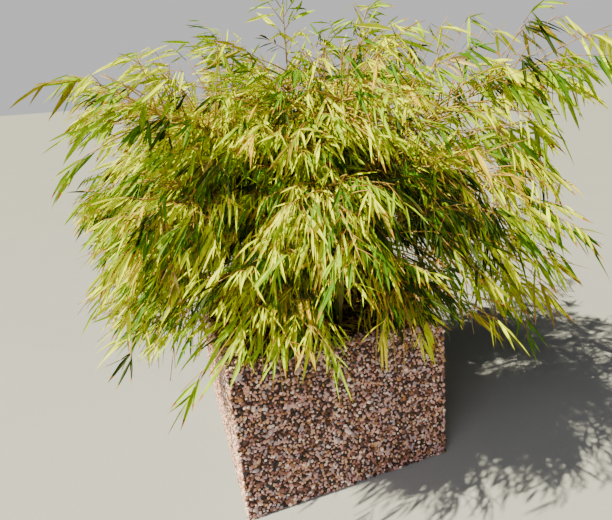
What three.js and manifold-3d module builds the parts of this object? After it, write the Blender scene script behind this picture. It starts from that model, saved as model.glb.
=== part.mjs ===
// A clump of bamboo in a square concrete planter with a pebble face.
// Millimetres, +Z up. The origin is on the ground under the middle of the planter, +X runs along
// the planter's front and +Y runs from its front to its back.
//
// Every culm is one arching curve from the soil to its tip. The lower share of the curve is the
// bare, tapering limb. The rest is the stem of a mass of foliage, which starts just clear of the
// limb's end: branches leave it turn by turn, and leaves stand along the branches. Each leaf is
// larger than a real one and stands for a small spray.

import * as THREE from "three";
import { mergeVertices } from "three/addons/utils/BufferGeometryUtils.js";
import Module from "manifold-3d";

const wasm = await Module();
wasm.setup();

// Planter and soil
const PLANTER_WIDTH = 775;
const PLANTER_DEPTH = 960;
const PLANTER_HEIGHT = 570;
const PLANTER_WALL = 60;
const PLANTER_FLOOR = 60;
const CORNER_RADIUS = 12;
const EDGE_BEVEL = 4;
const SOIL_BELOW_RIM = 45;
const SOIL_TOP = PLANTER_HEIGHT - SOIL_BELOW_RIM;
const GAP = 0.3;

// The stones that stand out of the planter's faces: one for each cluster of pebbles. Their shift
// is a share of their spacing, and they keep the inset from the edges of the face. What is cut
// away between them is a mould, which ends in a tip at its height over the face.
const STONE_SPACING = 77;
const STONE_INSET = 20;
const STONE_RELIEF = 4;
const STONE_UNEVENNESS = 0.6;
const STONE_SHIFT = 0.18;
const STONE_SEED = 7;
const MOULD_HEIGHT = 50;

// The crown, ring by ring from the rim of the planter to the top: how many culms end there, at
// what height, and how far their tips reach to each side of the clump. A culm's curve leaves the
// soil upright with a lean, rises, and comes to its tip over a run, falling or still climbing.
// The bare share of the curve is the limb, and the leaves hang by the ring's measure.
const RINGS = [
  {
    name: "low", culms: 8, turn: 0.45, height: 745,
    reach: { left: 600, right: 750, front: 560, back: 480 },
    foot: 1.0, rise: 400, lean: 50, run: 190, fall: 270, bare: 0.5, branches: 4, hang: 0.55,
  },
  {
    name: "side", culms: 8, turn: 0.9, height: 1080,
    reach: { left: 635, right: 930, front: 620, back: 510 },
    foot: 0.74, rise: 520, lean: 50, run: 330, fall: 110, bare: 0.6, branches: 5, hang: 0.45,
  },
  {
    name: "shoulder", culms: 6, turn: 0.6, height: 1365,
    reach: { left: 600, right: 880, front: 500, back: 420 },
    foot: 0.5, rise: 600, lean: 30, run: 330, fall: -90, bare: 0.66, branches: 5, hang: 0.25,
  },
  {
    name: "top", culms: 3, turn: 0.15, height: 1470,
    reach: { left: 200, right: 350, front: 250, back: 210 },
    foot: 0.27, rise: 600, lean: 0, run: 90, fall: -330, bare: 0.66, branches: 5, hang: 0.1,
  },
];
const OUTLINE_POWER = 2.6;
const CLUMP_CENTRE = { x: 10, y: -20 };
const CLUMP_HALF_WIDTH = 190;
const CLUMP_HALF_DEPTH = 240;

// Culms and the stems that carry on from them
const CULM_FOOT_RADIUS = 8.5;
const CULM_END_RADIUS = 6.5;
const STEM_TIP_RADIUS = 5;
const CULM_SIDES = 5;
const CULM_STEPS = 7;
const STEM_STEPS = 3;

// Branches
const TWIG_SIDES = 3;
const BRANCH_LENGTH = 155;
const BRANCH_LAST_SHARE = 0.8;
const BRANCH_RADIUS_SHARE = 0.48;
const BRANCH_TAPER = 0.85;
const BRANCH_ANGLE = THREE.MathUtils.degToRad(58);
const BRANCH_SAG = 0.2;
const GOLDEN_ANGLE = Math.PI * (3 - Math.sqrt(5));

// Leaves
const LEAF_PLACES = [0.17, 0.34, 0.51, 0.67, 0.83, 0.98];
const LEAF_LENGTH = 240;
const LEAF_WIDTH = 45;
const LEAF_WIDEST = 0.4;
const LEAF_THICKNESS = 3;
const LEAF_ROOT_SHARE = 0.45;
const LEAF_SPLAY = 0.85;
const LEAF_ROLL = THREE.MathUtils.degToRad(40);
const LEAF_TRIES = 40;
const LEAF_SHORTENING = 0.994;

// How clear the foliage keeps of the limbs, the planter, the next mass's space and other leaves
const LIMB_CLEARANCE = 6;
const PLANTER_CLEARANCE = 6;
const SPACE_MARGIN = 5;
const LEAVES_APART = 8;
const SMALLEST_EDGE = 0.02;

const UP = new THREE.Vector3(0, 0, 1);

// A seeded run of numbers from 0 to 1.
function seeded(seed) {
  const span = 2 ** 32;
  let state = seed >>> 0;
  return () => {
    state = (Math.imul(state, 1664525) + 1013904223) >>> 0;
    return state / span;
  };
}

// A closed geometry as a solid that can be joined and cut.
function solidOf(geometry) {
  const bare = geometry.clone();
  bare.deleteAttribute("normal");
  bare.deleteAttribute("uv");
  const merged = mergeVertices(bare, 1e-4);
  return new wasm.Manifold(new wasm.Mesh({
    numProp: 3,
    vertProperties: new Float32Array(merged.attributes.position.array),
    triVerts: new Uint32Array(merged.index.array),
  }));
}

// The solid's geometry, flat shaded.
function geometryOf(solid) {
  const mesh = solid.getMesh();
  const indexed = new THREE.BufferGeometry();
  indexed.setAttribute("position", new THREE.BufferAttribute(new Float32Array(mesh.vertProperties), 3));
  indexed.setIndex(new THREE.BufferAttribute(new Uint32Array(mesh.triVerts), 1));
  const geometry = indexed.toNonIndexed();
  geometry.computeVertexNormals();
  return geometry;
}

// The largest body of a fused solid: loose scraps and sealed hollows are separate, smaller ones.
function largestPiece(solid) {
  return solid.decompose().reduce((best, piece) => (piece.volume() > best.volume() ? piece : best));
}

// A geometry from corner points and faces that point outwards.
function closedGeometry(points, faces) {
  const geometry = new THREE.BufferGeometry();
  const places = points.flatMap((point) => point.toArray());
  geometry.setAttribute("position", new THREE.Float32BufferAttribute(places, 3));
  geometry.setIndex(faces.flat());
  return geometry;
}

// A tapering tube: a ring of corners round each point of its path, square to the direction there,
// with a flat cap at each end.
function limbGeometry({ points, directions, radii }, sides) {
  const corners = [];
  const faces = [];
  const reference = new THREE.Vector3().crossVectors(UP, directions[directions.length - 1]).normalize();
  points.forEach((point, step) => {
    const heading = directions[step];
    const across = reference.clone().addScaledVector(heading, -reference.dot(heading)).normalize();
    const along = new THREE.Vector3().crossVectors(heading, across);
    for (let side = 0; side < sides; side += 1) {
      const angle = (2 * Math.PI * side) / sides;
      corners.push(point.clone()
        .addScaledVector(across, radii[step] * Math.cos(angle))
        .addScaledVector(along, radii[step] * Math.sin(angle)));
    }
  });
  for (let step = 0; step < points.length - 1; step += 1) {
    for (let side = 0; side < sides; side += 1) {
      const here = step * sides + side;
      const next = step * sides + ((side + 1) % sides);
      faces.push([here, next, next + sides], [here, next + sides, here + sides]);
    }
  }
  const last = (points.length - 1) * sides;
  for (let side = 1; side < sides - 1; side += 1) {
    faces.push([0, side + 1, side], [last, last + side, last + side + 1]);
  }
  return closedGeometry(corners, faces);
}

// A lance-shaped blade of ten faces: a small three-sided root, three corners at its widest place,
// where it is thickest along the middle, and a sharp tip.
function leafGeometry(leaf) {
  const place = (along, across, above) => leaf.root.clone()
    .addScaledVector(leaf.heading, along)
    .addScaledVector(leaf.across, across)
    .addScaledVector(leaf.above, above);
  const rootHalf = leaf.rootRadius * Math.cos(Math.PI / 6);
  const rootBelow = leaf.rootRadius * Math.sin(Math.PI / 6);
  const widest = leaf.length * LEAF_WIDEST;
  const points = [
    place(0, -rootHalf, -rootBelow),
    place(0, rootHalf, -rootBelow),
    place(0, 0, leaf.rootRadius),
    place(widest, -LEAF_WIDTH / 2, 0),
    place(widest, LEAF_WIDTH / 2, 0),
    place(widest, 0, LEAF_THICKNESS),
    place(leaf.length, 0, 0),
  ];
  const faces = [
    [0, 2, 1], [0, 1, 4], [0, 4, 3], [0, 3, 2], [2, 3, 5],
    [1, 2, 4], [2, 5, 4], [3, 6, 5], [5, 6, 4], [3, 4, 6],
  ];
  return closedGeometry(points, faces);
}

// How far the crown reaches from the clump at an angle: a rounded outline through four sides.
function outlineReach(reach, angle) {
  const halfX = Math.cos(angle) > 0 ? reach.right : reach.left;
  const halfY = Math.sin(angle) > 0 ? reach.back : reach.front;
  const alongX = Math.abs(Math.cos(angle) / halfX) ** OUTLINE_POWER;
  const alongY = Math.abs(Math.sin(angle) / halfY) ** OUTLINE_POWER;
  return (alongX + alongY) ** (-1 / OUTLINE_POWER);
}

// Points, directions and radii along a share of a culm's curve.
function stations(curve, from, to, steps, firstRadius, lastRadius) {
  const path = { points: [], directions: [], radii: [] };
  for (let step = 0; step <= steps; step += 1) {
    const share = THREE.MathUtils.lerp(from, to, step / steps);
    path.points.push(curve.getPoint(share));
    path.directions.push(curve.getTangent(share));
    path.radii.push(THREE.MathUtils.lerp(firstRadius, lastRadius, step / steps));
  }
  return path;
}

// One culm: its curve from the middle of its flat cut on the soil to its tip, the bare limb on
// the curve's first share, and the stem of its foliage, which starts just clear of the limb.
function planCulm(ring, index) {
  const angle = (2 * Math.PI * (index + ring.turn)) / ring.culms;
  const out = new THREE.Vector3(Math.cos(angle), Math.sin(angle), 0);
  const centre = new THREE.Vector3(CLUMP_CENTRE.x, CLUMP_CENTRE.y, SOIL_TOP + GAP);
  const spread = new THREE.Vector3(CLUMP_HALF_WIDTH * out.x, CLUMP_HALF_DEPTH * out.y, 0);
  const foot = centre.clone().addScaledVector(spread, ring.foot);
  const tip = centre.clone().addScaledVector(out, outlineReach(ring.reach, angle)).setZ(ring.height);
  const curve = new THREE.CubicBezierCurve3(
    foot,
    foot.clone().addScaledVector(UP, ring.rise).addScaledVector(out, ring.lean),
    tip.clone().addScaledVector(out, -ring.run).addScaledVector(UP, ring.fall),
    tip,
  );
  const limb = stations(curve, 0, ring.bare, CULM_STEPS, CULM_FOOT_RADIUS, CULM_END_RADIUS);
  limb.directions[0] = UP.clone();
  const stem = stations(curve, ring.bare, 1, STEM_STEPS, CULM_END_RADIUS, STEM_TIP_RADIUS);
  stem.points[0].addScaledVector(stem.directions[0], GAP);
  return { name: `${ring.name}_${index + 1}`, ring, index, curve, limb, stem };
}

// The shortest distance between two straight lines, each given by its two ends.
function lineDistance([a, b], [c, d]) {
  const ab = b.clone().sub(a);
  const cd = d.clone().sub(c);
  const ca = a.clone().sub(c);
  const across = ab.dot(cd);
  const square = ab.dot(ab) * cd.dot(cd) - across * across;
  const { clamp } = THREE.MathUtils;
  const first = square > 0 ? clamp((across * cd.dot(ca) - ab.dot(ca) * cd.dot(cd)) / square, 0, 1) : 0;
  const onSecond = clamp((across * first + cd.dot(ca)) / cd.dot(cd), 0, 1);
  const onFirst = clamp((across * onSecond - ab.dot(ca)) / ab.dot(ab), 0, 1);
  return a.clone().addScaledVector(ab, onFirst).distanceTo(c.clone().addScaledVector(cd, onSecond));
}

// The straight lines between the points of a path.
function linesOf(points) {
  return points.slice(1).map((point, step) => [points[step], point]);
}

// The shortest distance from a point to a path.
function pathDistance(point, path) {
  const nearest = new THREE.Vector3();
  return Math.min(...linesOf(path).map(([from, to]) => (
    new THREE.Line3(from, to).closestPointToPoint(point, true, nearest).distanceTo(point))));
}

// True if a point is in a mass's own space: nearer to its stem than to the others' by a margin.
function inOwnSpace(point, culm) {
  const own = pathDistance(point, culm.stem.points) + SPACE_MARGIN;
  return culms.every((other) => other === culm || pathDistance(point, other.stem.points) > own);
}

// True if a point is off the planter: above its rim, or clear of its outer faces.
function offPlanter(point) {
  return point.z > PLANTER_HEIGHT + PLANTER_CLEARANCE
    || Math.abs(point.x) > PLANTER_WIDTH / 2 + PLANTER_CLEARANCE
    || Math.abs(point.y) > PLANTER_DEPTH / 2 + PLANTER_CLEARANCE;
}

// True if straight lines as thick as told are clear of every bare limb.
function clearOfLimbs(lines, thickness) {
  const room = CULM_FOOT_RADIUS + thickness + LIMB_CLEARANCE;
  return culms.every((culm) => linesOf(culm.limb.points).every((part) => (
    lines.every((line) => lineDistance(line, part) > room))));
}

// True if a leaf or branch, given by its lines and the points along them, may stand in a mass.
function mayStand({ points, lines }, thickness, culm) {
  return points.every((point) => offPlanter(point) && inOwnSpace(point, culm))
    && clearOfLimbs(lines, thickness);
}

// A leaf that leaves a twig at a point: it splays to one side, hangs and rolls a little.
function planLeaf(root, heading, side, hang, twigRadius, random) {
  const toward = heading.clone()
    .addScaledVector(side, LEAF_SPLAY * (0.5 + random()))
    .addScaledVector(UP, -hang * (0.5 + random()))
    .normalize();
  const level = new THREE.Vector3().crossVectors(UP, toward).normalize();
  const across = level.applyAxisAngle(toward, LEAF_ROLL * (2 * random() - 1));
  return {
    root,
    heading: toward,
    across,
    above: new THREE.Vector3().crossVectors(toward, across),
    length: LEAF_LENGTH * (0.85 + 0.3 * random()),
    rootRadius: twigRadius * LEAF_ROOT_SHARE,
  };
}

// A leaf's middle line, widest line and edges, with points along them.
function leafLines(leaf) {
  const middle = leaf.root.clone().addScaledVector(leaf.heading, leaf.length * LEAF_WIDEST);
  const left = middle.clone().addScaledVector(leaf.across, -LEAF_WIDTH / 2);
  const right = middle.clone().addScaledVector(leaf.across, LEAF_WIDTH / 2);
  const tip = leaf.root.clone().addScaledVector(leaf.heading, leaf.length);
  const edges = [[leaf.root, left], [leaf.root, right], [left, tip], [right, tip]];
  const lines = [[leaf.root, tip], [left, right], ...edges];
  const points = lines.flatMap(([from, to]) => (
    [0, 1 / 3, 2 / 3, 1].map((share) => from.clone().lerp(to, share))));
  return { lines, points };
}

// True if a leaf's middle and widest lines keep clear of those of the mass's other leaves.
function clearOfLeaves(lines, placed) {
  return placed.every((other) => other.slice(0, 2).every((theirs) => (
    lines.slice(0, 2).every((ours) => lineDistance(ours, theirs) > LEAVES_APART))));
}

// A branch that leaves the stem at a share of its length, turned round it and sagging a little.
function planBranch(culm, node, random) {
  const along = (node + 0.6) / culm.ring.branches;
  const share = THREE.MathUtils.lerp(culm.ring.bare, 1, along);
  const from = culm.curve.getPoint(share);
  const stemHeading = culm.curve.getTangent(share);
  const turn = GOLDEN_ANGLE * (node + culm.index) + random();
  const level = new THREE.Vector3().crossVectors(UP, stemHeading).normalize();
  const side = level.applyAxisAngle(stemHeading, turn);
  const heading = stemHeading.multiplyScalar(Math.cos(BRANCH_ANGLE))
    .addScaledVector(side, Math.sin(BRANCH_ANGLE))
    .addScaledVector(UP, -BRANCH_SAG)
    .normalize();
  const length = BRANCH_LENGTH * THREE.MathUtils.lerp(1, BRANCH_LAST_SHARE, along) * (0.9 + 0.2 * random());
  const radius = BRANCH_RADIUS_SHARE * THREE.MathUtils.lerp(CULM_END_RADIUS, STEM_TIP_RADIUS, along);
  return {
    points: [from, from.clone().addScaledVector(heading, length)],
    directions: [heading, heading],
    radii: [radius, radius * BRANCH_TAPER],
  };
}

// One mass of foliage: the stem, its branches and their leaves, fused into one solid.
function growFoliage(culm, seed) {
  const random = seeded(seed);
  const bodies = [solidOf(limbGeometry(culm.stem, TWIG_SIDES))];
  const placed = [];
  const addLeaf = (root, heading, side, twigRadius) => {
    for (let attempt = 0; attempt < LEAF_TRIES; attempt += 1) {
      const leaf = planLeaf(root, heading, side, culm.ring.hang, twigRadius, random);
      leaf.length *= LEAF_SHORTENING ** attempt;
      const reach = leafLines(leaf);
      if (clearOfLeaves(reach.lines, placed) && mayStand(reach, LEAF_THICKNESS, culm)) {
        bodies.push(solidOf(leafGeometry(leaf)));
        placed.push(reach.lines);
        return;
      }
    }
  };
  for (let node = 0; node < culm.ring.branches; node += 1) {
    const branch = planBranch(culm, node, random);
    const [from, to] = branch.points;
    const [radius, endRadius] = branch.radii;
    if (mayStand({ points: [to], lines: [[from, to]] }, radius, culm)) {
      bodies.push(solidOf(limbGeometry(branch, TWIG_SIDES)));
      const heading = branch.directions[0];
      const level = new THREE.Vector3().crossVectors(heading, UP).normalize();
      LEAF_PLACES.forEach((place, order) => {
        const side = level.clone().multiplyScalar(order % 2 ? 1 : -1);
        addLeaf(from.clone().lerp(to, place), heading, side, endRadius);
      });
    }
  }
  const stemEnd = culm.stem.directions[STEM_STEPS];
  const lastRoot = culm.stem.points[STEM_STEPS].clone().addScaledVector(stemEnd, -STEM_TIP_RADIUS);
  addLeaf(lastRoot, stemEnd, new THREE.Vector3(), STEM_TIP_RADIUS);
  return largestPiece(wasm.Manifold.union(bodies)).simplify(SMALLEST_EDGE);
}

// A block with rounded upright corners, from a given height up, with its edges bevelled or sharp.
function roundedBlock(width, depth, from, height, bevel) {
  const halfX = width / 2 - bevel;
  const halfY = depth / 2 - bevel;
  const shape = new THREE.Shape();
  shape.moveTo(CORNER_RADIUS - halfX, -halfY);
  shape.absarc(halfX - CORNER_RADIUS, CORNER_RADIUS - halfY, CORNER_RADIUS, -Math.PI / 2, 0);
  shape.absarc(halfX - CORNER_RADIUS, halfY - CORNER_RADIUS, CORNER_RADIUS, 0, Math.PI / 2);
  shape.absarc(CORNER_RADIUS - halfX, halfY - CORNER_RADIUS, CORNER_RADIUS, Math.PI / 2, Math.PI);
  shape.absarc(CORNER_RADIUS - halfX, CORNER_RADIUS - halfY, CORNER_RADIUS, Math.PI, 1.5 * Math.PI);
  const geometry = new THREE.ExtrudeGeometry(shape, {
    depth: height - 2 * bevel,
    bevelEnabled: bevel > 0,
    bevelThickness: bevel,
    bevelSize: bevel,
    bevelSegments: 1,
    curveSegments: 3,
  });
  geometry.translate(0, 0, from + bevel);
  return geometry;
}

// What is cut away between the stones of one upright face, from a corner of the face along its
// edge: a net of points that dip to the mortar, with one point in each of its meshes that stays
// out as a stone of four facets, and a tip outside, over the middle of the net.
function stoneMould(corner, edge, random) {
  const uneven = (most) => most * (2 * random() - 1);
  const along = edge.clone().normalize();
  const inward = new THREE.Vector3().crossVectors(UP, along);
  const width = edge.length() - 2 * STONE_INSET;
  const height = PLANTER_HEIGHT - 2 * STONE_INSET;
  const columns = Math.round(width / STONE_SPACING);
  const rows = Math.round(height / STONE_SPACING);
  const place = (column, row, depth) => corner.clone()
    .addScaledVector(along, STONE_INSET + (width * column) / columns)
    .addScaledVector(UP, STONE_INSET + (height * row) / rows)
    .addScaledVector(inward, depth);
  const shifted = (column, row, depth) => place(
    column + uneven(STONE_SHIFT), row + uneven(STONE_SHIFT), depth + uneven(STONE_UNEVENNESS));
  const points = [place(columns / 2, rows / 2, -MOULD_HEIGHT)];
  const faces = [];
  for (let row = 0; row <= rows; row += 1) {
    for (let column = 0; column <= columns; column += 1) {
      const onBorder = row % rows === 0 || column % columns === 0;
      points.push(onBorder ? place(column, row, 0) : shifted(column, row, STONE_RELIEF));
    }
  }
  const at = (column, row) => 1 + row * (columns + 1) + column;
  for (let row = 0; row < rows; row += 1) {
    for (let column = 0; column < columns; column += 1) {
      const [here, above] = [at(column, row), at(column, row + 1)];
      const stone = points.length;
      points.push(shifted(column + 0.5, row + 0.5, STONE_UNEVENNESS));
      faces.push([here, above, stone], [above, above + 1, stone]);
      faces.push([above + 1, here + 1, stone], [here + 1, here, stone]);
    }
    faces.push([at(0, row + 1), at(0, row), 0], [at(columns, row), at(columns, row + 1), 0]);
  }
  for (let column = 0; column < columns; column += 1) {
    faces.push([at(column, 0), at(column + 1, 0), 0], [at(column + 1, rows), at(column, rows), 0]);
  }
  return solidOf(closedGeometry(points, faces));
}

const INNER_WIDTH = PLANTER_WIDTH - 2 * PLANTER_WALL;
const INNER_DEPTH = PLANTER_DEPTH - 2 * PLANTER_WALL;

// The planter: a block on its flat underside, hollowed from above to its floor, with stones in its
// four upright faces.
function planterGeometry() {
  const outside = roundedBlock(PLANTER_WIDTH, PLANTER_DEPTH, 0, PLANTER_HEIGHT, EDGE_BEVEL);
  const inside = roundedBlock(INNER_WIDTH, INNER_DEPTH, PLANTER_FLOOR, PLANTER_HEIGHT, 0);
  const corners = [[-1, -1], [1, -1], [1, 1], [-1, 1]].map(([x, y]) => (
    new THREE.Vector3((x * PLANTER_WIDTH) / 2, (y * PLANTER_DEPTH) / 2, 0)));
  const random = seeded(STONE_SEED);
  const moulds = corners.map((corner, side) => {
    const next = corners[(side + 1) % corners.length];
    return stoneMould(corner, next.clone().sub(corner), random);
  });
  return geometryOf(wasm.Manifold.difference([solidOf(outside), solidOf(inside), ...moulds]));
}

// The soil: it fills the planter to a little below the rim.
function soilGeometry() {
  const from = PLANTER_FLOOR + GAP;
  return roundedBlock(INNER_WIDTH - 2 * GAP, INNER_DEPTH - 2 * GAP, from, SOIL_TOP - from, 0);
}

const concrete = new THREE.MeshStandardMaterial({ color: 0xa08c7c, roughness: 0.9, metalness: 0 });
const soil = new THREE.MeshStandardMaterial({ color: 0x2b211a, roughness: 1, metalness: 0 });
const cane = new THREE.MeshStandardMaterial({ color: 0xa89a4a, roughness: 0.5, metalness: 0 });
const leafGreen = new THREE.MeshStandardMaterial({ color: 0x8fa62a, roughness: 0.55, metalness: 0 });

const group = new THREE.Group();

function addMesh(name, geometry, material) {
  const mesh = new THREE.Mesh(geometry, material);
  mesh.name = name;
  group.add(mesh);
}

const culms = RINGS.flatMap((ring) => (
  Array.from({ length: ring.culms }, (_, index) => planCulm(ring, index))));

addMesh("planter", planterGeometry(), concrete);
addMesh("soil", soilGeometry(), soil);
culms.forEach((culm, order) => {
  addMesh(`culm_${culm.name}`, limbGeometry(culm.limb, CULM_SIDES), cane);
  addMesh(`foliage_${culm.name}`, geometryOf(growFoliage(culm, order + 1)), leafGreen);
});

export default group;
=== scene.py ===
"""A clump of bamboo in an open concrete planter with a pebble face, in metres, +Z up.

The planter gets a rough mortar shell and modelled pebbles, and the soil a lumpy bed with litter.
Every culm follows one arching curve from the soil to its tip, jointed by nodes. Branches leave it
turn by turn, twigs leave the branches side by side, and every twig ends in a fan of leaves.
"""

import math
from itertools import combinations

import bpy
import numpy as np
from bpy.props import FloatProperty, FloatVectorProperty, IntProperty, PointerProperty
from mathutils import Matrix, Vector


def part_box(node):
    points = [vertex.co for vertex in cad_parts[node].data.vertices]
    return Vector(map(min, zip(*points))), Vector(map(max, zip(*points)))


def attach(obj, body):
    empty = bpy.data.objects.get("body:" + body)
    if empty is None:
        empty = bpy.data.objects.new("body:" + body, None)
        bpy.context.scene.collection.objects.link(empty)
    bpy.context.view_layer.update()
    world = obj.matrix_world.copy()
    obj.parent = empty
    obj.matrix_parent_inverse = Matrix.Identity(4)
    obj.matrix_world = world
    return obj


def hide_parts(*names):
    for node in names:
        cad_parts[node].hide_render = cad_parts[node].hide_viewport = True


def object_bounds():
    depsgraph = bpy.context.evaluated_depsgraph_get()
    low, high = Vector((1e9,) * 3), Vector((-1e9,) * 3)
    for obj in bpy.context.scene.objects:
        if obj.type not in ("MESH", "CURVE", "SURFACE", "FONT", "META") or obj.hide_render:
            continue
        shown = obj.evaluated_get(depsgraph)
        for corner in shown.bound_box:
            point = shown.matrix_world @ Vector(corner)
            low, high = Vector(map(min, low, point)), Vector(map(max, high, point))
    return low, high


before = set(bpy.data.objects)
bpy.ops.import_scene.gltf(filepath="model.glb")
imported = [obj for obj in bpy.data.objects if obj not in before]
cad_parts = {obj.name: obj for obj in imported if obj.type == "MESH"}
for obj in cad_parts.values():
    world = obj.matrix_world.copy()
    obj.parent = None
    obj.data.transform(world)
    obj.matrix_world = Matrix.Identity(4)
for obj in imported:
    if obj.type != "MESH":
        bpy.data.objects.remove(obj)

bl_info = {
    "name": "Potted bamboo",
    "version": (1, 0, 0),
    "blender": (4, 5, 0),
    "location": "View3D > Sidebar > Bamboo",
    "description": "Builds a clump of bamboo in a pebble-faced concrete planter",
    "category": "Add Mesh",
}

# The space that the construction gives to the whole, the planter and the soil
CAD_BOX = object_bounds()
CROWN_LOW, CROWN_HIGH = (np.array(corner) for corner in CAD_BOX)
PLANTER_HIGH = np.array(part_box("planter")[1])
SOIL_LOW, SOIL_HIGH = (np.array(corner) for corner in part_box("soil"))
WALL = PLANTER_HIGH[0] - SOIL_HIGH[0]
CORNER_RADIUS = 0.012
EDGE_BEVEL = 0.004
CONTACT_GAP = 0.0003

UP = np.array((0.0, 0.0, 1.0))
GOLDEN_ANGLE = math.pi * (3 - math.sqrt(5))

# The rings of culms, from the rim of the planter to the top. The sizes of a culm's curve come
# first. Then come how its branches stand, from which share of the curve, at how many nodes and how
# long the first and the last of them and the one that carries on from the tip are, how far the
# branches sag, and how far the leaves hang.
RINGS = {
    "low": {
        "order": 0, "culms": 8, "turn": 0.45, "height": 0.745,
        "left": 0.6, "right": 0.75, "front": 0.56, "back": 0.48,
        "foot": 1.0, "rise": 0.4, "lean": 0.05, "run": 0.19, "fall": 0.27,
        "leafy": 0.3, "nodes": 12, "first": 0.34, "last": 0.27, "tip": 0.15, "sag": 0.05, "hang": 0.4,
    },
    "side": {
        "order": 1, "culms": 8, "turn": 0.9, "height": 1.08,
        "left": 0.635, "right": 0.93, "front": 0.62, "back": 0.51,
        "foot": 0.74, "rise": 0.52, "lean": 0.05, "run": 0.33, "fall": 0.11,
        "leafy": 0.34, "nodes": 15, "first": 0.32, "last": 0.14, "tip": 0.18, "sag": 0.1, "hang": 0.5,
    },
    "shoulder": {
        "order": 2, "culms": 6, "turn": 0.6, "height": 1.365,
        "left": 0.6, "right": 0.88, "front": 0.5, "back": 0.42,
        "foot": 0.5, "rise": 0.6, "lean": 0.03, "run": 0.33, "fall": -0.09,
        "leafy": 0.4, "nodes": 16, "first": 0.4, "last": 0.2, "tip": 0.28, "sag": -0.5, "hang": 0.4,
    },
    "top": {
        "order": 3, "culms": 3, "turn": 0.15, "height": 1.47,
        "left": 0.2, "right": 0.35, "front": 0.25, "back": 0.21,
        "foot": 0.27, "rise": 0.6, "lean": 0.0, "run": 0.09, "fall": -0.33,
        "leafy": 0.46, "nodes": 17, "first": 0.34, "last": 0.15, "tip": 0.2, "sag": -0.15, "hang": 0.15,
    },
}
OUTLINE_POWER = 2.6
CLUMP_CENTRE = np.array((0.01, -0.02, SOIL_HIGH[2] + CONTACT_GAP))
CLUMP_HALF = np.array((0.19, 0.24, 0.0))

# How the branches stand on their culms. Here and below, a pair named draw holds the least and the
# most of an even random draw.
BRANCHES_PER_NODE = 3
BRANCH_STEPS = 5
BRANCH_ANGLE = math.radians(56)
BRANCH_ANGLE_DRAW = (0.7, 1.15)
BRANCH_TURN_DRAW = (-0.5, 0.5)
BRANCH_LENGTH_DRAW = (0.65, 1.15)
ONWARD_LENGTH_DRAW = (0.85, 1.15)
NODE_SHIFT_DRAW = (-0.015, 0.015)
FIRST_NODE = 0.6
CULM_END = 0.995
LONGER_RIGHT = 1.4

# How far a path of length 1 is swept out and down at its end, and how much more the hang adds
BRANCH_OUT, BRANCH_DOWN, BRANCH_HANG = 0.12, 0.06, 0.3
TWIG_OUT, TWIG_HANG = 0.15, 0.4

# How the twigs stand on their branches
TWIGS_PER_BRANCH = 9
TWIG_STEPS = 2
TWIG_ANGLE = math.radians(52)
TWIG_ANGLE_DRAW = (0.6, 1.3)
TWIG_ROLL_DRAW = (-0.9, 0.9)
TWIG_LENGTH_DRAW = (0.05, 0.1)
LAST_TWIG_SPLAY = 0.2

# How the leaves stand on their twigs, and how much of its heading a leaf takes from its twig, from
# the way out of the clump and from the light
FAN_START = 0.25
LEAF_ROLL_DRAW = (-0.8, 0.8)
LEAF_SPLAY_DRAW = (0.2, 0.85)
LAST_LEAF_SPLAY = 0.25
LEAF_HANG_DRAW = (0.6, 3.0)
WITH_TWIG, OUTWARDS, TO_LIGHT = 0.5, 0.4, 0.6
STRAY_HEADING, STRAY_ROLL = 0.22, 1.1

# The spread of the leaves' sizes, and how large they are deep in the crown and at its far right
LEAF_SIZE_SPREAD = (-0.3, 0.32)
LEAF_SIZE_LIMITS = (0.4, 1.2)
SMALL_LEAF, LARGE_LEAF = 0.85, 1.3

# Foliage stays this clear of the planter, and reaches at most this far past the construction
CLEAR_OF_PLANTER = 0.004
PAST_THE_BOX = 0.012

# The crown is thick within this egg, and opens into single sprays past it. It has a hollow on its
# front, and from left to right its fringe ends at these heights. Edges are where a smooth step
# starts and ends: here in the radius of the egg or the hollow, and below in metres off the middle.
CROWN_MIDDLE = np.array((-0.1, -0.05, 0.9))
CROWN_HALVES = np.array((0.74, 0.75, 0.46))
OPEN_EDGES = (0.7, 1.15)
OPEN_SHARE = 0.2
# Over these radii of the egg, nudged outwards on the left, the leaves' colours pass from painted shade to
# painted sunlight
LIT_EDGES = (0.62, 1.15)
HOLLOW_MIDDLE = np.array((0.28, -0.45, 0.91))
HOLLOW_HALVES = np.array((0.17, 0.25, 0.15))
HOLLOW_EDGES = (0.6, 1.1)
# Over these radii of the hollow the leaves pass from painted shade back to their usual colours
SHADE_EDGES = (1.2, 2.2)
HOLLOW_SHARE = 0.1
FRINGE_SPREAD = 0.04
FRINGE_PLACES = (-0.75, -0.45, -0.25, 0.0, 0.15, 0.25, 0.4, 0.55)
FRINGE_HEIGHTS = (0.62, 0.68, 0.69, 0.64, 0.62, 0.65, 0.62, 0.48)

# On the left the leaves lean this way, towards the light, and painted sunlight reaches deeper into
# the crown: more of them get the lime colour of lit leaves. To the right and down along the fringe
# they are larger.
LIGHTWARDS = np.array((-1.0, -0.15, 0.0))
LEAN_EDGES = (-0.25, 0.6)
SUNLIT_EDGES = (-0.3, 0.5)
SUNLIT_GAIN = 0.55
LARGE_RIGHT_EDGES = (0.0, 0.9)
LARGE_LOW_EDGES = (-0.85, -0.55)
LARGE_LOW_SHARE = 0.4

# The camera stands where the photograph was taken from
CAMERA_PLACE = (-0.50018, -1.93189, 1.40264)
CAMERA_HEADING = math.radians(19.837)
CAMERA_PITCH = math.radians(-16.774)
CAMERA_ROLL = math.radians(-4.129)
CAMERA_LENS_MM = 30.345
CAMERA_SHIFT = (-0.0592, -0.0366)

# The strength of the sky as a light, and as the plain backdrop that is seen
LIGHTING_SKY = 0.08
SEEN_SKY = 0.75
SKY_COLOUR = (0.84, 0.84, 0.85, 1)

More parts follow.
